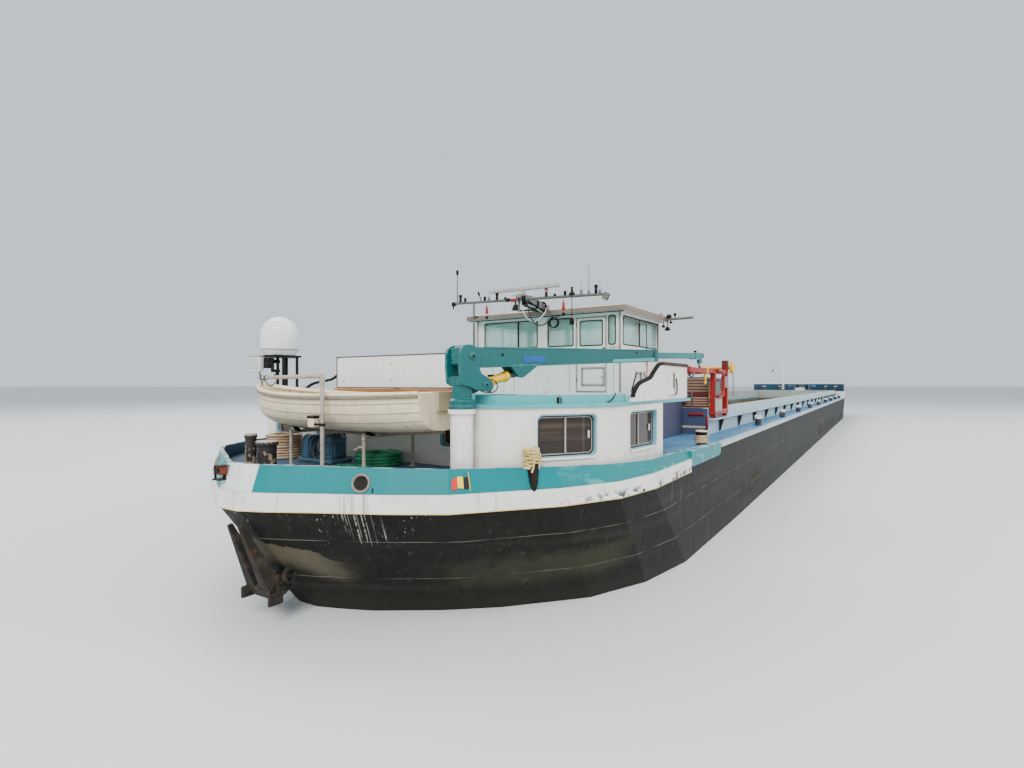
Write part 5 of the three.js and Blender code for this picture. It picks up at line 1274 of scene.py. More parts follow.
def shipsBoat():
    piece = Piece("boatHull")
    shell = boatSkin()
    bmesh.ops.recalc_face_normals(shell, faces=shell.faces[:])
    bmesh.ops.solidify(shell, geom=shell.faces[:], thickness=0.03)
    piece.take(shell, "cream")
    line = boatLine()
    piece.plate("cream", [(x, z) for x, _, z in boatSection(line[0])], "side", -2.01, -1.97)  # transom
    for side in (-1, 1):
        rail = [boatPoint(s, 1.0, 1.0, side) for s in line]
        piece.tube("cream", rail, 0.026, sides=12)
        piece.tube("boat_band", [(x + side * 0.012, y, z - 0.045) for x, y, z in rail], 0.02, sides=12)
        piece.tube("cream", [(x - side * 0.07, y, z - 0.015) for x, y, z in rail[:-4]], 0.018, sides=8)
        for height in boat["strakes"]:
            breadth = next(b0 + (b1 - b0) * (height - h0) / (h1 - h0)
                           for (b0, h0), (b1, h1) in zip(boat["section"], boat["section"][1:]) if h1 <= height <= h0)
            strake = [boatPoint(s, breadth, height, side) for s in line]
            piece.tube("boat_line", strake, 0.0065, sides=6)
        for i in range(1, len(line) - 6, 2):  # rivets of the lining
            x, y, z = boatPoint(line[i], 0.93, 0.9, side)
            piece.turned("black", [(0, 0), (0.012, 0), (0.008, 0.008), (0, 0.01)],
                         (x - side * 0.012, y, z), (-side, 0, 0), 8)
    keel = [boatPoint(s, 0.0, 0.0) for s in line]
    piece.tube("boat_band", [(x, y, z - 0.012) for x, y, z in keel], 0.026, sides=8)
    piece.bar("boat_band", (boat["x"], 2.1, 3.78), (boat["x"], 2.12, 4.24), 0.03, 0.024)
    for y in (-1.1, 0.1, 1.0):
        wide = next(half for at, half, _, _ in line if at >= y) - 0.04
        piece.block("boat_wood", (boat["x"] - wide, y - 0.1, 3.87), (boat["x"] + wide, y + 0.1, 3.9), 0.008)
    piece.block("boat_wood", (boat["x"] - 0.26, -1.9, 3.6), (boat["x"] + 0.26, 1.1, 3.62), 0.006)
    piece.block("boat_wood", (boat["x"] - 0.16, -2.05, 3.82), (boat["x"] + 0.16, -1.95, 4.1), 0.01)
    tarp = Piece("boatTarp")
    tarp.turned("black", [(0.3, 0.0), (0.29, 0.05), (0.2, 0.1), (0.1, 0.19), (0.02, 0.22), (0, 0.22)],
                (1.85, -1.45, 3.88), steps=14)
    tarp.done("black")
    return piece.done("cream", ["ships_boat"])


def cradle():
    piece = Piece("cradleTrim")
    for y in (0.88, -0.78):
        for x in (1.6, 2.62):
            for profile, z, steps in (([(0, 0), (0.06, 0), (0.06, 0.012), (0.03, 0.02)], 2.902, 16),
                                      ([(0.024, -0.02), (0.034, -0.01), (0.034, 0.02), (0.024, 0.03)], 3.405, 12),
                                      ([(0, 0), (0.029, 0), (0.029, 0.008), (0.02, 0.02), (0, 0.024)], 3.468, 12)):
                piece.turned("rail_pipe", profile, (x, y, z), steps=steps)
        for side in (-1, 1):
            wedge = [(boat["x"] + side * out, z) for out, z in ((0.085, 3.443), (0.2, 3.443), (0.29, 3.53),
                                                                (0.22, 3.518))]
            piece.plate("black", wedge, "side", y - 0.032, y + 0.032, bevel=0.004)
    handle = [(1.6, -0.78, 3.27), (1.6, -0.7, 3.29), (1.6, -0.62, 3.25), (1.6, -0.58, 3.24)]
    piece.tube("rail_pipe", smoothed(handle, 4), 0.016)
    return piece.done("steel")


shipsBoat()
cradle()


# Davit over the boat's stem, with a lamp box clamped to its post
davit = {"x": 1.1, "y": -0.5, "end": (1.9, 2.13), "z": 4.31}


def davitTrim():
    piece = Piece("davitTrim")
    x, y, z = davit["x"], davit["y"], davit["z"]
    along = (Vector((*davit["end"], z)) - Vector((x, y, z))).normalized()
    piece.turned("rail_pipe", [(0, 0), (0.08, 0), (0.08, 0.014), (0.036, 0.024)], (x, y, 2.902), steps=18)
    piece.turned("rail_pipe", [(0.028, -0.03), (0.037, -0.02), (0.037, 0.03), (0.028, 0.04)], (x, y, 4.22), steps=16)
    piece.turned("rail_pipe", [(0.028, -0.02), (0.038, -0.01), (0.038, 0.03), (0.028, 0.04)],
                 Vector((x, y, z)) + along * 0.08, along, 16)
    for share in (0.9, 0.985):
        piece.turned("black", [(0.028, -0.02), (0.042, -0.016), (0.042, 0.016), (0.028, 0.02)],
                     Vector((x, y, z)).lerp(Vector((*davit["end"], z)), share), along, 14)
    piece.tube("black", [(1.9 + 0.02 * math.cos(a), 2.1, 4.262 + 0.026 * math.sin(a)) for a in
                         (i * math.tau / 12 for i in range(12))], 0.006, closed=True)
    piece.tube("black", smoothed([(1.62, 1.2, 4.29), (1.66, 1.42, 4.2), (1.72, 1.6, 4.17), (1.8, 1.82, 4.22),
                                  (1.88, 2.06, 4.3)], 6), 0.008)
    piece.block("cream", (1.08, -0.33, 3.585), (1.18, -0.2, 3.72), 0.014)
    piece.block("black", (1.07, -0.34, 3.715), (1.19, -0.19, 3.755), 0.012)
    piece.block("black", (1.09, -0.48, 3.62), (1.11, -0.32, 3.65), 0.006)
    piece.turned("black", [(0.03, -0.02), (0.04, -0.02), (0.04, 0.02), (0.03, 0.02)], (x, y, 3.635), steps=14)
    for turn in range(4):
        angle = math.radians(45 + 90 * turn)
        piece.turned("rust", [(0, 0), (0.012, 0), (0.012, 0.01), (0, 0.014)],
                     (x + 0.06 * math.cos(angle), y + 0.06 * math.sin(angle), 2.916), (0, 0, 1), 6)
    return piece.done("steel")


davitTrim()


# Mooring winch: gear case, drum with wire, flanges and motor
winch = {"axle": (2.2, 3.17), "case": (1.02, 1.2), "drum": (0.79, 0.95), "motor": (0.45, 0.7)}


def deckWinch():
    piece = Piece("winchGear")
    x, z = winch["axle"]
    low, high = winch["case"]

    def lobes(grow):
        return (discOutline((x - 0.04, z + 0.05), 0.115 + grow, 18, -20, 220)
                + discOutline((x - 0.06, 3.02), 0.1 + grow, 12, 200, 140))

    for y in (low, high - 0.03):
        piece.plate("gear_blue", lobes(0.015), "side", y, y + 0.03, bevel=0.006)
    piece.plate("gear_blue", lobes(0.0), "side", low + 0.02, high - 0.02)
    for cz, radius in ((z + 0.05, 0.06), (3.02, 0.05)):
        for y, way in ((high, 1), (low, -1)):
            piece.turned("gear_blue", [(0, 0), (radius, 0), (radius * 0.9, 0.02), (0, 0.02)], (x - 0.05, y, cz),
                         (0, way, 0))
    piece.bar("steel", (x, 0.65, z), (x, 1.05, z), 0.05)
    start, end = winch["drum"]
    turns = 8
    step = (end - start) / turns
    profile = [(0.06, 0)]
    for i in range(turns):
        at = step * (i + 0.5)
        profile += [(0.118, at - step * 0.45), (0.131, at - step * 0.2), (0.131, at + step * 0.2),
                    (0.118, at + step * 0.45)]
    piece.turned("wire_grey", [*profile, (0.06, end - start)], (x, start, z), (0, 1, 0), 24)
    for y in (start - 0.05, end):
        piece.turned("gear_blue", [(0.05, 0), (0.172, 0), (0.178, 0.008), (0.178, 0.034), (0.172, 0.042),
                                   (0.05, 0.042)],
                     (x, y, z), (0, 1, 0), 32)
    low, high = winch["motor"]
    piece.block("winch_blue", (x - 0.14, low + 0.02, 2.96), (x + 0.18, high, 3.33), 0.03, segments=2)
    piece.block("winch_blue", (x - 0.1, low, 3.0), (x + 0.14, low + 0.06, 3.27), 0.02)
    piece.block("winch_blue", (x - 0.16, low + 0.05, 3.05), (x - 0.12, high - 0.05, 3.25), 0.012)
    piece.block("black", (x - 0.06, low + 0.05, 3.325), (x + 0.1, high - 0.05, 3.352), 0.01)
    piece.bar("black", (x - 0.02, low + 0.1, 3.34), (x - 0.02, low + 0.1, 3.39), 0.012)
    piece.block("winch_blue", (x - 0.2, winch["motor"][0] - 0.03, 2.903), (x + 0.25, 1.27, 2.965), 0.012)
    for y in (0.5, 1.22):
        for dx in (-0.17, 0.22):
            piece.turned("steel", [(0, 0), (0.022, 0), (0.022, 0.014), (0, 0.02)], (x + dx, y, 2.965), (0, 0, 1), 6)
    piece.tube("wire_grey", smoothed([(x - 0.12, 0.9, 3.24), (x - 0.17, 0.89, 3.12), (x - 0.18, 0.86, 2.99),
                                      (x - 0.15, 0.84, 2.975), (x - 0.1, 0.87, 3.06)], 6), 0.009)
    return piece.done("winch_blue", ["aft_winch"])


deckWinch()


# Bollard rims and small things on the aft deck
def aftDeckTrim():
    piece = Piece("deckFittings")
    for x, y, radius, height in ((0.76, 0.26, 0.13, 0.49), (0.78, 0.68, 0.078, 0.57)):
        top = 2.901 + height
        piece.turned("rail_pipe", [(radius * 1.02, top - 0.018), (radius * 1.14, top - 0.014),
                                   (radius * 1.14, top + 0.006),
                                   (radius * 1.02, top + 0.012), (0, top + 0.012)], (x, y, 0), steps=28)
    piece.turned("red", [(0, 0), (0.05, 0), (0.06, 0.03), (0.06, 0.13), (0.04, 0.16), (0.03, 0.2), (0, 0.2)],
                 (2.6, -1.75, 3.02), steps=16)
    piece.block("steel", (2.56, -1.79, 2.902), (2.64, -1.71, 3.02), 0.008)
    for x, y, turn in ((1.15, 1.35, 20), (1.35, -2.05, -50)):
        piece.block("steel", (-0.12, -0.03, 0), (0.12, 0.03, 0.02), 0.008, placed(x, y, 2.901, turn))
        for at in (-0.05, 0.05):
            piece.bar("steel", (at, 0, 0.01), (at * 1.6, 0, 0.09), 0.016, place=placed(x, y, 2.901, turn))
    return piece.done("steel")


aftDeckTrim()


# Stern anchor: edges, ribs and the eye of its shank
def anchorTrim():
    piece = Piece("anchorTrim")
    for side in (-1, 1):
        piece.bar("rust", (0.14, side * 0.12, 2.37), (0.5, side * 0.2, 1.55), 0.018, 0.035)
        piece.block("rust", (0.4, side * 0.3 - 0.02, 1.28), (0.62, side * 0.3 + 0.02, 1.44), 0.02)
    piece.bar("rust", (0.6, -0.32, 1.44), (0.6, 0.32, 1.44), 0.06)
    piece.turned("rust", [(0.075, -0.03), (0.11, -0.03), (0.11, 0.03), (0.075, 0.03), (0.075, -0.03)],
                 (0.72, -0.3, 1.62), (0.2, -1, 0), 20)
    return piece.done("rust")


anchorTrim()
print("stage: aft deck and stern")


# Radar mast: what stands on its bar and hangs from it, at places along y
mastBar = {"x": 7.2, "z": 6.18, "rise": 0.025}
mastItems = [
    (1.85, "lamp"), (1.7, "stub"), (1.22, "bent"), (1.1, "stub"), (0.98, "rod"), (0.74, "lamp"), (0.5, "small"),
    (-0.62, "redLamp"), (-0.84, "small"), (-1.1, "stub"), (-1.27, "horn"), (-1.5, "whip"), (-1.68, "tall"),
    (-1.85, "lamp"), (-1.94, "whip"), (1.04, "pendant"), (-1.06, "pendant"), (0.21, "bell"), (-1.27, "box"),
]
whips = {"rod": (0.2, 0.008), "whip": (0.3, 0.006), "tall": (0.6, 0.012)}  # height and radius
lampFoot = ("black", [(0, -0.02), (0.034, -0.02), (0.034, 0.08), (0.02, 0.09), (0.036, 0.1), (0, 0.1)], 14)
lampLens = [(0, 0.1), (0.04, 0.1), (0.04, 0.15), (0, 0.15)]
lampCap = ("black", [(0, 0.15), (0.045, 0.15), (0.045, 0.17), (0.02, 0.185), (0, 0.185)], 14)
mastShapes = {
    "lamp": [lampFoot, ("black", lampLens, 14), lampCap],
    "redLamp": [lampFoot, ("lamp_red", lampLens, 14), lampCap],
    "stub": [("black", [(0, -0.01), (0.033, -0.01), (0.033, 0.085), (0.02, 0.095), (0, 0.095)], 12)],
    "small": [("black", [(0, -0.01), (0.033, -0.01), (0.033, 0.04), (0.02, 0.05), (0, 0.05)], 12)],
    "horn": [("black", [(0, -0.01), (0.07, -0.01), (0.07, 0.03), (0.03, 0.07), (0.03, 0.1), (0, 0.1)], 14),
             ("black", [(0, 0.1), (0.02, 0.1), (0.03, 0.17), (0, 0.18)], 12)],
}


def mastTrim():
    piece = Piece("mastTrim")
    x = mastBar["x"]
    for y, kind in mastItems:
        z = mastBar["z"] + mastBar["rise"] * y + 0.03
        at = (x, y, z)
        for finish, profile, steps in mastShapes.get(kind, []):
            piece.turned(finish, profile, at, steps=steps)
        if kind in whips:
            height, radius = whips[kind]
            piece.turned("steel", [(0, -0.01), (0.03, -0.01), (0.03, 0.06), (radius, 0.08), (radius, 0.09)],
                         at, steps=12)
            piece.bar("seam_grey", at, (x, y, z + height), radius, radius * 0.6, 8)
        elif kind == "bent":
            bend = [at, (x, y, z + 0.05), (x, y + 0.03, z + 0.1), (x, y + 0.06, z + 0.18)]
            piece.tube("black", smoothed(bend, 3), 0.014)
            piece.bar("black", (x, y + 0.05, z + 0.14), (x, y + 0.08, z + 0.22), 0.026)
        elif kind == "pendant":
            piece.bar("seam_grey", (x, y, z - 0.02), (x, y, z - 0.3), 0.007, sides=6)
            piece.turned("red", [(0, 0), (0.02, 0.0), (0.042, -0.17), (0, -0.2)], (x, y, z - 0.14), steps=10)
            piece.turned("black", [(0, -0.04), (0.03, -0.03), (0.042, 0), (0.03, 0.03), (0, 0.04)],
                         (x, y, z - 0.42), steps=14)
            piece.bar("seam_grey", (x, y, z - 0.29), (x, y, z - 0.4), 0.006, sides=6)
        elif kind == "bell":
            piece.bar("black", (x, y, z - 0.04), (x, y, z - 0.16), 0.02)
            piece.turned("black", [(0, 0), (0.05, 0.0), (0.06, -0.04), (0.095, -0.12), (0.08, -0.13), (0, -0.06)],
                         (x, y, z - 0.15), steps=18)
        elif kind == "box":
            piece.bar("black", (x, y, z - 0.04), (x, y, z - 0.54), 0.01)
            piece.block("black", (x - 0.04, y - 0.045, z - 0.66), (x + 0.04, y + 0.045, z - 0.52), 0.012)
    # slim aerial beside the scanner's foot, floodlight with its grille, and bracket covers
    piece.bar("steel", (x + 0.08, 0.36, 6.3), (x + 0.08, -0.1, 6.27), 0.007)
    piece.bar("steel", (x + 0.06, 0.24, 6.19), (x + 0.08, 0.24, 6.295), 0.01)
    flood = Matrix.Translation((x, -2.08, 6.08)) @ Matrix.Rotation(math.radians(24), 4, "X")
    piece.block("black", (-0.03, -0.07, -0.08), (0.03, 0.07, 0.08), 0.012, flood)
    for i in range(5):
        piece.block("alu", (-0.04, -0.062 + 0.028 * i, -0.072), (-0.028, -0.05 + 0.028 * i, 0.072), 0.003, flood)
        piece.block("alu", (-0.044, -0.064, -0.072 + 0.032 * i), (-0.032, 0.064, -0.062 + 0.032 * i), 0.003, flood)
    piece.bar("black", (x, -1.97, 6.13), (x, -2.05, 6.09), 0.014)
    piece.block("black", (x - 0.035, 1.99, 6.17), (x + 0.035, 2.12, 6.27), 0.012)
    piece.bar("black", (x, 2.07, 6.18), (x, 2.09, 6.1), 0.02)
    piece.block("trim_beige", (7.955, -0.215, 5.984), (8.1, 0.215, 6.13), 0.014)
    piece.block("black", (x - 0.03, 1.3, 5.83), (x + 0.03, 1.41, 5.87), 0.01)
    piece.turned("steel", [(0.032, -0.03), (0.044, -0.03), (0.044, 0.03), (0.032, 0.03)], (x, 1.43, 5.85), steps=14)
    piece.block("red", (x - 0.05, 0.18, 6.13), (x - 0.03, 0.32, 6.2), 0.01)
    piece.block("black", (x - 0.06, 0.34, 6.14), (x - 0.03, 0.46, 6.23), 0.012)
    piece.block("trim_beige", (x - 0.14, -0.02, 6.2), (x - 0.02, 0.1, 6.3), 0.02)
    piece.block("black", (x - 0.13, -0.09, 6.12), (x - 0.05, -0.03, 6.24), 0.012)
    strut = (Vector((7.25, 0, 6.15)), Vector((8.0, -0.12, 6.06)))
    for i in range(9):  # cables clipped round the strut that leads to the roof
        angle = math.radians(-70 + 200 * i / 8)
        reach = 0.098 + 0.012 * (i % 3)
        line = [strut[0].lerp(strut[1], s) + Vector((0, math.sin(angle + 0.8 * s), -math.cos(angle + 0.8 * s)))
                * (reach + 0.02 * math.sin(9 * s + i)) for s in (k / 12 for k in range(13))]
        piece.tube(("hose_black", "wire_light", "hose_black", "seam_grey")[i % 4], line, 0.016 + 0.004 * (i % 2))
    for s in (0.12, 0.5, 0.88):
        piece.turned("black", [(0.1, -0.015), (0.132, -0.015), (0.132, 0.015), (0.1, 0.015)],
                     strut[0].lerp(strut[1], s),
                     strut[1] - strut[0], 20)
    piece.turned("black", [(0, 0), (0.02, 0.0), (0.034, 0.04), (0.034, 0.11), (0.02, 0.13), (0, 0.13)],
                 (x, 1.95, 6.94), steps=12)
    # arm over the wheelhouse's starboard side
    piece.tube("steel", [(10.8, -2.2, 5.91), (10.8, -2.5, 5.915), (10.8, -2.94, 5.925)], 0.034, sides=12)
    piece.block("steel", (10.74, -2.245, 5.88), (10.86, -2.225, 5.96), 0.006)
    piece.turned("steel", [(0, 0), (0.06, 0), (0.06, 0.04), (0.04, 0.08), (0, 0.1)], (10.7, -2.12, 5.978), steps=16)
    piece.turned("black", [(0, -0.03), (0.03, -0.03), (0.075, 0.02), (0.07, 0.06), (0.04, 0.09), (0, 0.1)],
                 (10.8, -2.31, 5.95), steps=16)
    piece.turned("black", [(0, -0.02), (0.016, -0.02), (0.016, 0.05), (0.035, 0.06), (0.04, 0.12), (0, 0.13)],
                 (10.8, -2.47, 5.94), steps=14)
    for y, low, radius in ((-2.27, 0.27, 0.075), (-2.36, 0.09, 0.045), (-2.16, 0.15, 0.05)):
        top = 5.9 if y < -2.2 else 5.862
        piece.bar("black", (10.8, y, top), (10.8, y, top - low + radius), 0.012)
        piece.turned("black", [(0, 0), (radius * 0.5, 0), (radius, -radius * 0.9), (radius * 0.9, -radius * 1.3),
                               (0, -radius * 1.3)], (10.8, y, top - low + radius * 1.1), steps=14)
    piece.bar("black", (9.12, -2.045, 4.47), (8.79, -2.045, 4.03), 0.016)
    return piece.done("black")


mastTrim()


# Cables that hang in loops below the mast, and a spare length coiled at the roof's edge
spareTurns = []
for i in range(65):  # four turns
    angle = math.tau * i / 16
    spareTurns.append((7.9 + 0.00175 * i, -0.4 + 0.118 * math.sin(angle), 5.68 + 0.118 * math.cos(angle)))
cables = [
    {"name": "mastCableLight", "finish": "wire_light", "diameter": 0.026,
     "route": [(7.14, 0.02, 6.14), (7.1, -0.02, 6.0), (7.09, -0.12, 5.78), (7.1, -0.28, 5.64), (7.2, -0.42, 5.68),
               (7.42, -0.44, 5.84), (7.68, -0.34, 5.96), (7.95, -0.16, 6.05)]},
    {"name": "mastCableDark", "finish": "hose_black", "diameter": 0.028,
     "route": [(7.14, -0.16, 6.14), (7.07, -0.2, 6.0), (7.05, -0.28, 5.76), (7.06, -0.42, 5.56), (7.16, -0.58, 5.55),
               (7.36, -0.62, 5.7), (7.66, -0.46, 5.9), (7.95, -0.2, 6.01)]},
    {"name": "mastCableSpare", "finish": "hose_black", "diameter": 0.02,
     "route": [(7.97, -0.64, 5.862), (7.93, -0.57, 5.83), (7.905, -0.48, 5.802), *spareTurns, (8.05, -0.3, 5.84),
               (8.08, -0.24, 5.86)]},
]


def mastCables():
    for cable in cables:
        points = smoothed(cable["route"], 4)
        line = evenly([inModel(*point) for point in points], 0.005)
        thick = cable["diameter"] * modelScale
        made = ropePiece(cable["name"], line, thick, cable["finish"], "hull", lobes=0)
        "coiled" if "Spare" in cable["name"] else "hanging"
        print("stage:", cable["name"], round(lineLength(line), 2), "m")


mastCables()


# Dome joint, and a louvred box on a bracket beside its stand
def domeTrim():
    piece = Piece("domeTrim")
    foot = (3.2, 3.46, 4.79)
    piece.turned("trim_grey", [(0.35, 0.108), (0.371, 0.11), (0.374, 0.124), (0.36, 0.126)], foot, steps=40)
    piece.turned("black", [(0.29, -0.045), (0.33, -0.045), (0.335, -0.02), (0.29, -0.02)], foot, steps=32)
    box = Piece("louvreBox")
    box.block("white", (2.76, 3.5, 4.46), (2.86, 3.83, 4.765), 0.014, segments=2)
    for i in range(6):
        box.block("aqua", (2.752, 3.53, 4.505 + 0.04 * i), (2.766, 3.8, 4.517 + 0.04 * i), 0.004)
    box.block("trim_grey", (2.745, 3.485, 4.755), (2.875, 3.845, 4.775), 0.008)
    box.block("black", (2.85, 3.36, 4.52), (3.0, 3.56, 4.73), 0.012)
    box.block("black", (2.95, 3.34, 4.44), (3.13, 3.4, 4.5), 0.01)
    box.block("black", (2.95, 3.34, 4.62), (3.13, 3.4, 4.7), 0.01)
    box.block("rubber", (2.94, 3.34, 4.44), (2.99, 3.4, 4.72), 0.01)
    box.tube("hose_black", smoothed([(2.84, 3.6, 4.47), (2.83, 3.58, 4.38), (2.92, 3.5, 4.32), (3.02, 3.42, 4.36),
                                     (3.08, 3.37, 4.46)], 4), 0.014)
    box.done("white")
    return piece.done("black")


domeTrim()
print("stage: mast and dome")


# Edges of the stacked hatch covers, and what is fixed to the aft end of the coaming
stackLayers = [("tan", 3.99, 0.078, 5, 0.052), ("red", 3.605, 0.064, 4, 0.03)]


def stackTrim():
    piece = Piece("stackEdges")
    for finish, foot, pitch, count, thick in stackLayers:
        for i in range(count):
            z = foot + pitch * i
            piece.block(finish, (10.862, -3.3, z), (10.9, 3.3, z + thick), 0.008)
            piece.block("boat_line" if finish == "red" else "rubber_brown", (10.868, -3.3, z + thick),
                        (10.9, 3.3, z + pitch), 0.004)
    piece.block("brick", (10.858, -3.3, 3.865), (10.9, 3.3, 3.985), 0.01)
    for side in (-1, 1):
        for i in range(9):
            finish = "boat_line" if i % 3 else "yellow"
            piece.turned(finish, [(0, 0), (0.034, 0), (0.034, 0.04), (0.02, 0.05), (0, 0.05)],
                         (10.92, side * 3.3, 3.66 + 0.07 * i), (0, side, 0), 12)
        piece.bar("steel", (10.84, side * 2.9, 3.6), (10.84, side * 2.9, 4.0), 0.024)
        near, far = sorted((side * 2.93, side * 3.32))
        piece.block("red", (10.34, near, 3.42), (10.4, far, 3.47), 0.012)
        piece.tube("red", smoothed([(10.4, side * 3.38, 3.38), (10.32, side * 3.42, 3.34), (10.28, side * 3.43, 3.22),
                                    (10.34, side * 3.41, 3.1), (10.4, side * 3.38, 3.08)], 4), 0.026)
    piece.block("boat_line", (10.384, -3.36, 3.09), (10.402, 3.36, 3.15), 0.005)
    return piece.done("tan")


def gantryTrim():
    piece = Piece("gantryTrim", "gantry")
    skin = 3.558  # outside of the legs' plates
    hook = [(9.66, 4.4), (9.86, 4.4), (9.84, 4.33), (9.8, 4.31), (9.86, 4.27), (9.84, 4.21), (9.76, 4.19),
            (9.71, 4.23),
            (9.74, 4.25), (9.78, 4.24), (9.79, 4.27), (9.72, 4.33)]
    pipe = [(10.6, 3.6, 4.54), (10.9, 3.62, 4.52), (11.12, 3.62, 4.42), (11.15, 3.62, 4.2), (11.12, 3.62, 3.96),
            (11.0, 3.61, 3.9), (10.64, 3.6, 3.9)]
    link = [Vector((0.014 * math.cos(k * math.tau / 8), 0, 0.028 * math.sin(k * math.tau / 8))) for k in range(8)]
    for side in (-1, 1):
        flip = Matrix.Diagonal((1, side, 1, 1))
        for finish, x0, x1, z0, z1 in (("blind_grey", 10.5, 10.94, 3.9, 4.26), ("alu", 10.47, 11.15, 3.5, 3.85),
                                       ("seam_grey", 11.15, 11.83, 4.1, 4.4)):
            piece.block(finish, (x0, skin, z0), (x1, skin + 0.03, z1), 0.01, flip)
        for x in (10.52, 10.8, 11.1):
            for z in (3.53, 3.82):
                piece.turned("steel", [(0, 0), (0.014, 0), (0.01, 0.01), (0, 0.012)], (x, skin + 0.03, z), (0, 1, 0),
                             8, flip)
        piece.tube("red", smoothed(pipe, 5), 0.036, sides=12, place=flip)
        piece.block("yellow", (9.73, 3.425, 4.44), (9.81, 3.575, 4.6), 0.012, flip)
        piece.bar("yellow", (9.77, 3.5, 4.45), (9.77, 3.5, 4.36), 0.022, place=flip)
        piece.plate("yellow", hook, "side", 3.48, 3.52, bevel=0.006, place=flip)
        piece.turned("steel", [(0.04, -0.05), (0.065, -0.05), (0.065, 0.05), (0.04, 0.05)], (8.61, 3.5, 4.42),
                     (1, 0, 0), 16, flip)
        piece.block("red", (8.28, 3.43, 4.455), (8.4, 3.57, 4.585), 0.014, flip)
        for x in (10.5, 11.8):
            piece.block("red", (x - 0.015, 3.425, 3.44), (x + 0.155, 3.575, 3.5), 0.01, flip)
        piece.block("brick", (11.775, 3.43, 4.585), (11.945, 3.575, 4.83), 0.012, flip)
        for i in range(17):  # links of the hoist's chain
            turn = Matrix.Rotation(math.pi / 2 * (i % 2), 4, "Z")
            piece.tube("yellow" if i < 2 else "steel", [turn @ point for point in link], 0.006, sides=4, closed=True,
                       place=flip @ Matrix.Translation((12.205, 3.64, 4.62 - 0.046 * i)))
        piece.turned("yellow", [(0.1, -0.02), (0.158, -0.022), (0.165, -0.01), (0.15, 0.0), (0.165, 0.01),
                                (0.158, 0.022), (0.1, 0.02)], (12.06, 3.64, 4.64), (0, 1, 0), 28, flip)
    return piece.done("red")


stackTrim()
gantryTrim()


# Rope wound on the first bollard of each side deck, and rims on all of them
sideBollards = {"y": 3.9, "top": 3.232, "along": [7.9, *(14.43 + 5.05 * i for i in range(9))]}


def sideDeckTrim():
    piece = Piece("sideDeckTrim")
    for side in (-1, 1):
        y = side * sideBollards["y"]
        for x in sideBollards["along"]:
            piece.turned("cream", [(0.09, -0.02), (0.116, -0.016), (0.118, 0.0), (0.11, 0.01), (0, 0.01)],
                         (x, y, sideBollards["top"]), steps=20)
        x = sideBollards["along"][0]
        piece.turned("black", [(0.1, 3.1), (0.112, 3.11), (0.112, 3.205), (0.1, 3.214)], (x, y, 0), steps=24)
        piece.tube("rope_brown", [(x + 0.124 * math.cos(0.5 * i), y + 0.124 * math.sin(0.5 * i),
                                   2.985 + 0.0032 * i) for i in range(52)], 0.02)
    return piece.done("black")


sideDeckTrim()


# Fore deck: lamps and a pendant on the foremast, warping ends and a wheel on the winch
def foreDeckTrim():
    mastTop = Piece("foremastTrim", "foremast")
    for y in (0.21, 2.49):
        mastTop.turned("black", [(0, 0.19), (0.066, 0.19), (0.07, 0.21), (0.03, 0.24), (0, 0.24)], (60.0, y, 5.93))
        mastTop.turned("lamp_clear", [(0, 0.1), (0.064, 0.1), (0.064, 0.185), (0, 0.185)], (60.0, y, 5.93))
    mastTop.bar("seam_grey", (60.0, 2.3, 5.93), (60.0, 2.3, 5.7), 0.008)
    mastTop.turned("red", [(0, 0), (0.05, -0.02), (0.09, -0.28), (0, -0.3)], (60.0, 2.3, 5.74))
    mastTop.turned("white", [(0.045, 0), (0.06, 0.005), (0.06, 0.05), (0.045, 0.055)], (60.0, 1.35, 6.42))
    mastTop.done("white")
    piece = Piece("bowWinchTrim")
    for side in (-1, 1):
        piece.turned("gear_blue", [(0, -0.02), (0.17, -0.02), (0.11, 0.03), (0.1, 0.08), (0.14, 0.12), (0, 0.12)],
                     (63.75, side * 1.17, 3.951), (0, side, 0), 20)
    for y in (-0.45, 0.4):
        piece.turned("rust", [(0.21, -0.13), (0.235, -0.12), (0.225, -0.06), (0.24, 0.0), (0.225, 0.06),
                              (0.235, 0.12), (0.21, 0.13)], (63.75, y, 3.951), (0, 1, 0), 24)
    piece.block("winch_blue", (63.36, -0.08, 3.6), (64.14, 0.08, 4.19), 0.02)
    return piece.done("winch_blue")


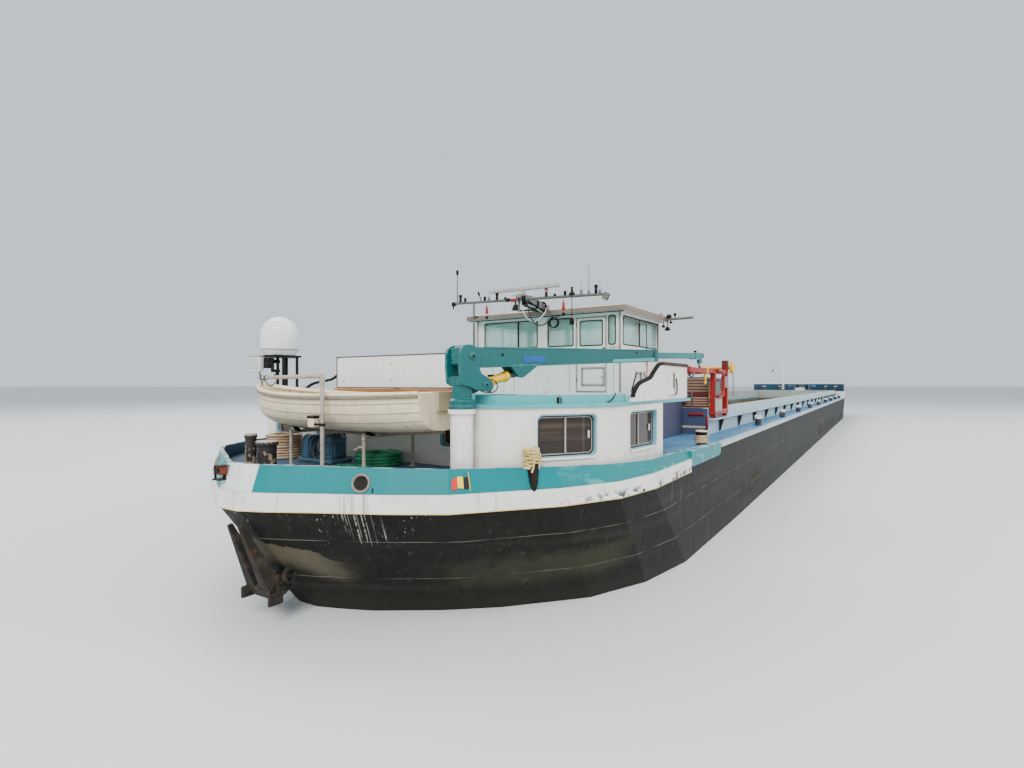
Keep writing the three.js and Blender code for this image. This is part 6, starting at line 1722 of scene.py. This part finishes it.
foreDeckTrim()
print("stage: stack, gantry, side decks and fore deck")

# Stage: floor at the waterline, pale surroundings and soft lamps
floor = bpy.data.meshes.new("floor")
ground = bmesh.new()
well = {"middle": 34.0, "length": 47.8, "width": 7.4, "reach": 400.0}  # open under the hold, inside the hull's sides
inner = [inModel(well["middle"] + sx * well["length"] / 2, sy * well["width"] / 2, waterline) for sx, sy in corners]
outer = [Vector((sx * well["reach"], sy * well["reach"], waterline * modelScale)) for sx, sy in corners]
inner, outer = [[ground.verts.new(point) for point in ring] for ring in (inner, outer)]
for i in range(4):
    ground.faces.new((outer[i], outer[(i + 1) % 4], inner[(i + 1) % 4], inner[i]))
ground.to_mesh(floor)
ground.free()
floorPaint = Paint("floor_pale")
floorColour = floorPaint.mix(floorPaint.noise(0.2, 3.0), tint(206, 209, 208), tint(214, 216, 214))
floor.materials.append(floorPaint.finish(floorColour, 0.7))
floorPlane = bpy.data.objects.new("floor", floor)
bpy.context.scene.collection.objects.link(floorPlane)

world = bpy.data.worlds.new("studio")
bpy.context.scene.world = world
world.use_nodes = True
world.node_tree.nodes["Background"].inputs[0].default_value = tint(222, 230, 240)
world.node_tree.nodes["Background"].inputs[1].default_value = 1.15
lamps = [  # name, place, aimed at, size, watts
    {"name": "keyLamp", "at": (-36, -9, 22), "to": (-12, 0, 1.5), "size": 16.0, "power": 11500.0},
    {"name": "fillLamp", "at": (6, -30, 20), "to": (0, 0, 1.0), "size": 22.0, "power": 10000.0},
    {"name": "skyLamp", "at": (-4, 22, 30), "to": (0, 0, 1.0), "size": 26.0, "power": 10000.0},
]
for lamp in lamps:
    light = bpy.data.lights.new(lamp["name"], "AREA")
    light.shape = "SQUARE"
    light.size = lamp["size"]
    light.energy = lamp["power"]
    holder = bpy.data.objects.new(lamp["name"], light)
    bpy.context.scene.collection.objects.link(holder)
    holder.location = lamp["at"]
    holder.rotation_euler = (Vector(lamp["to"]) - Vector(lamp["at"])).to_track_quat("-Z", "Y").to_euler()

bpy.context.view_layer.update()
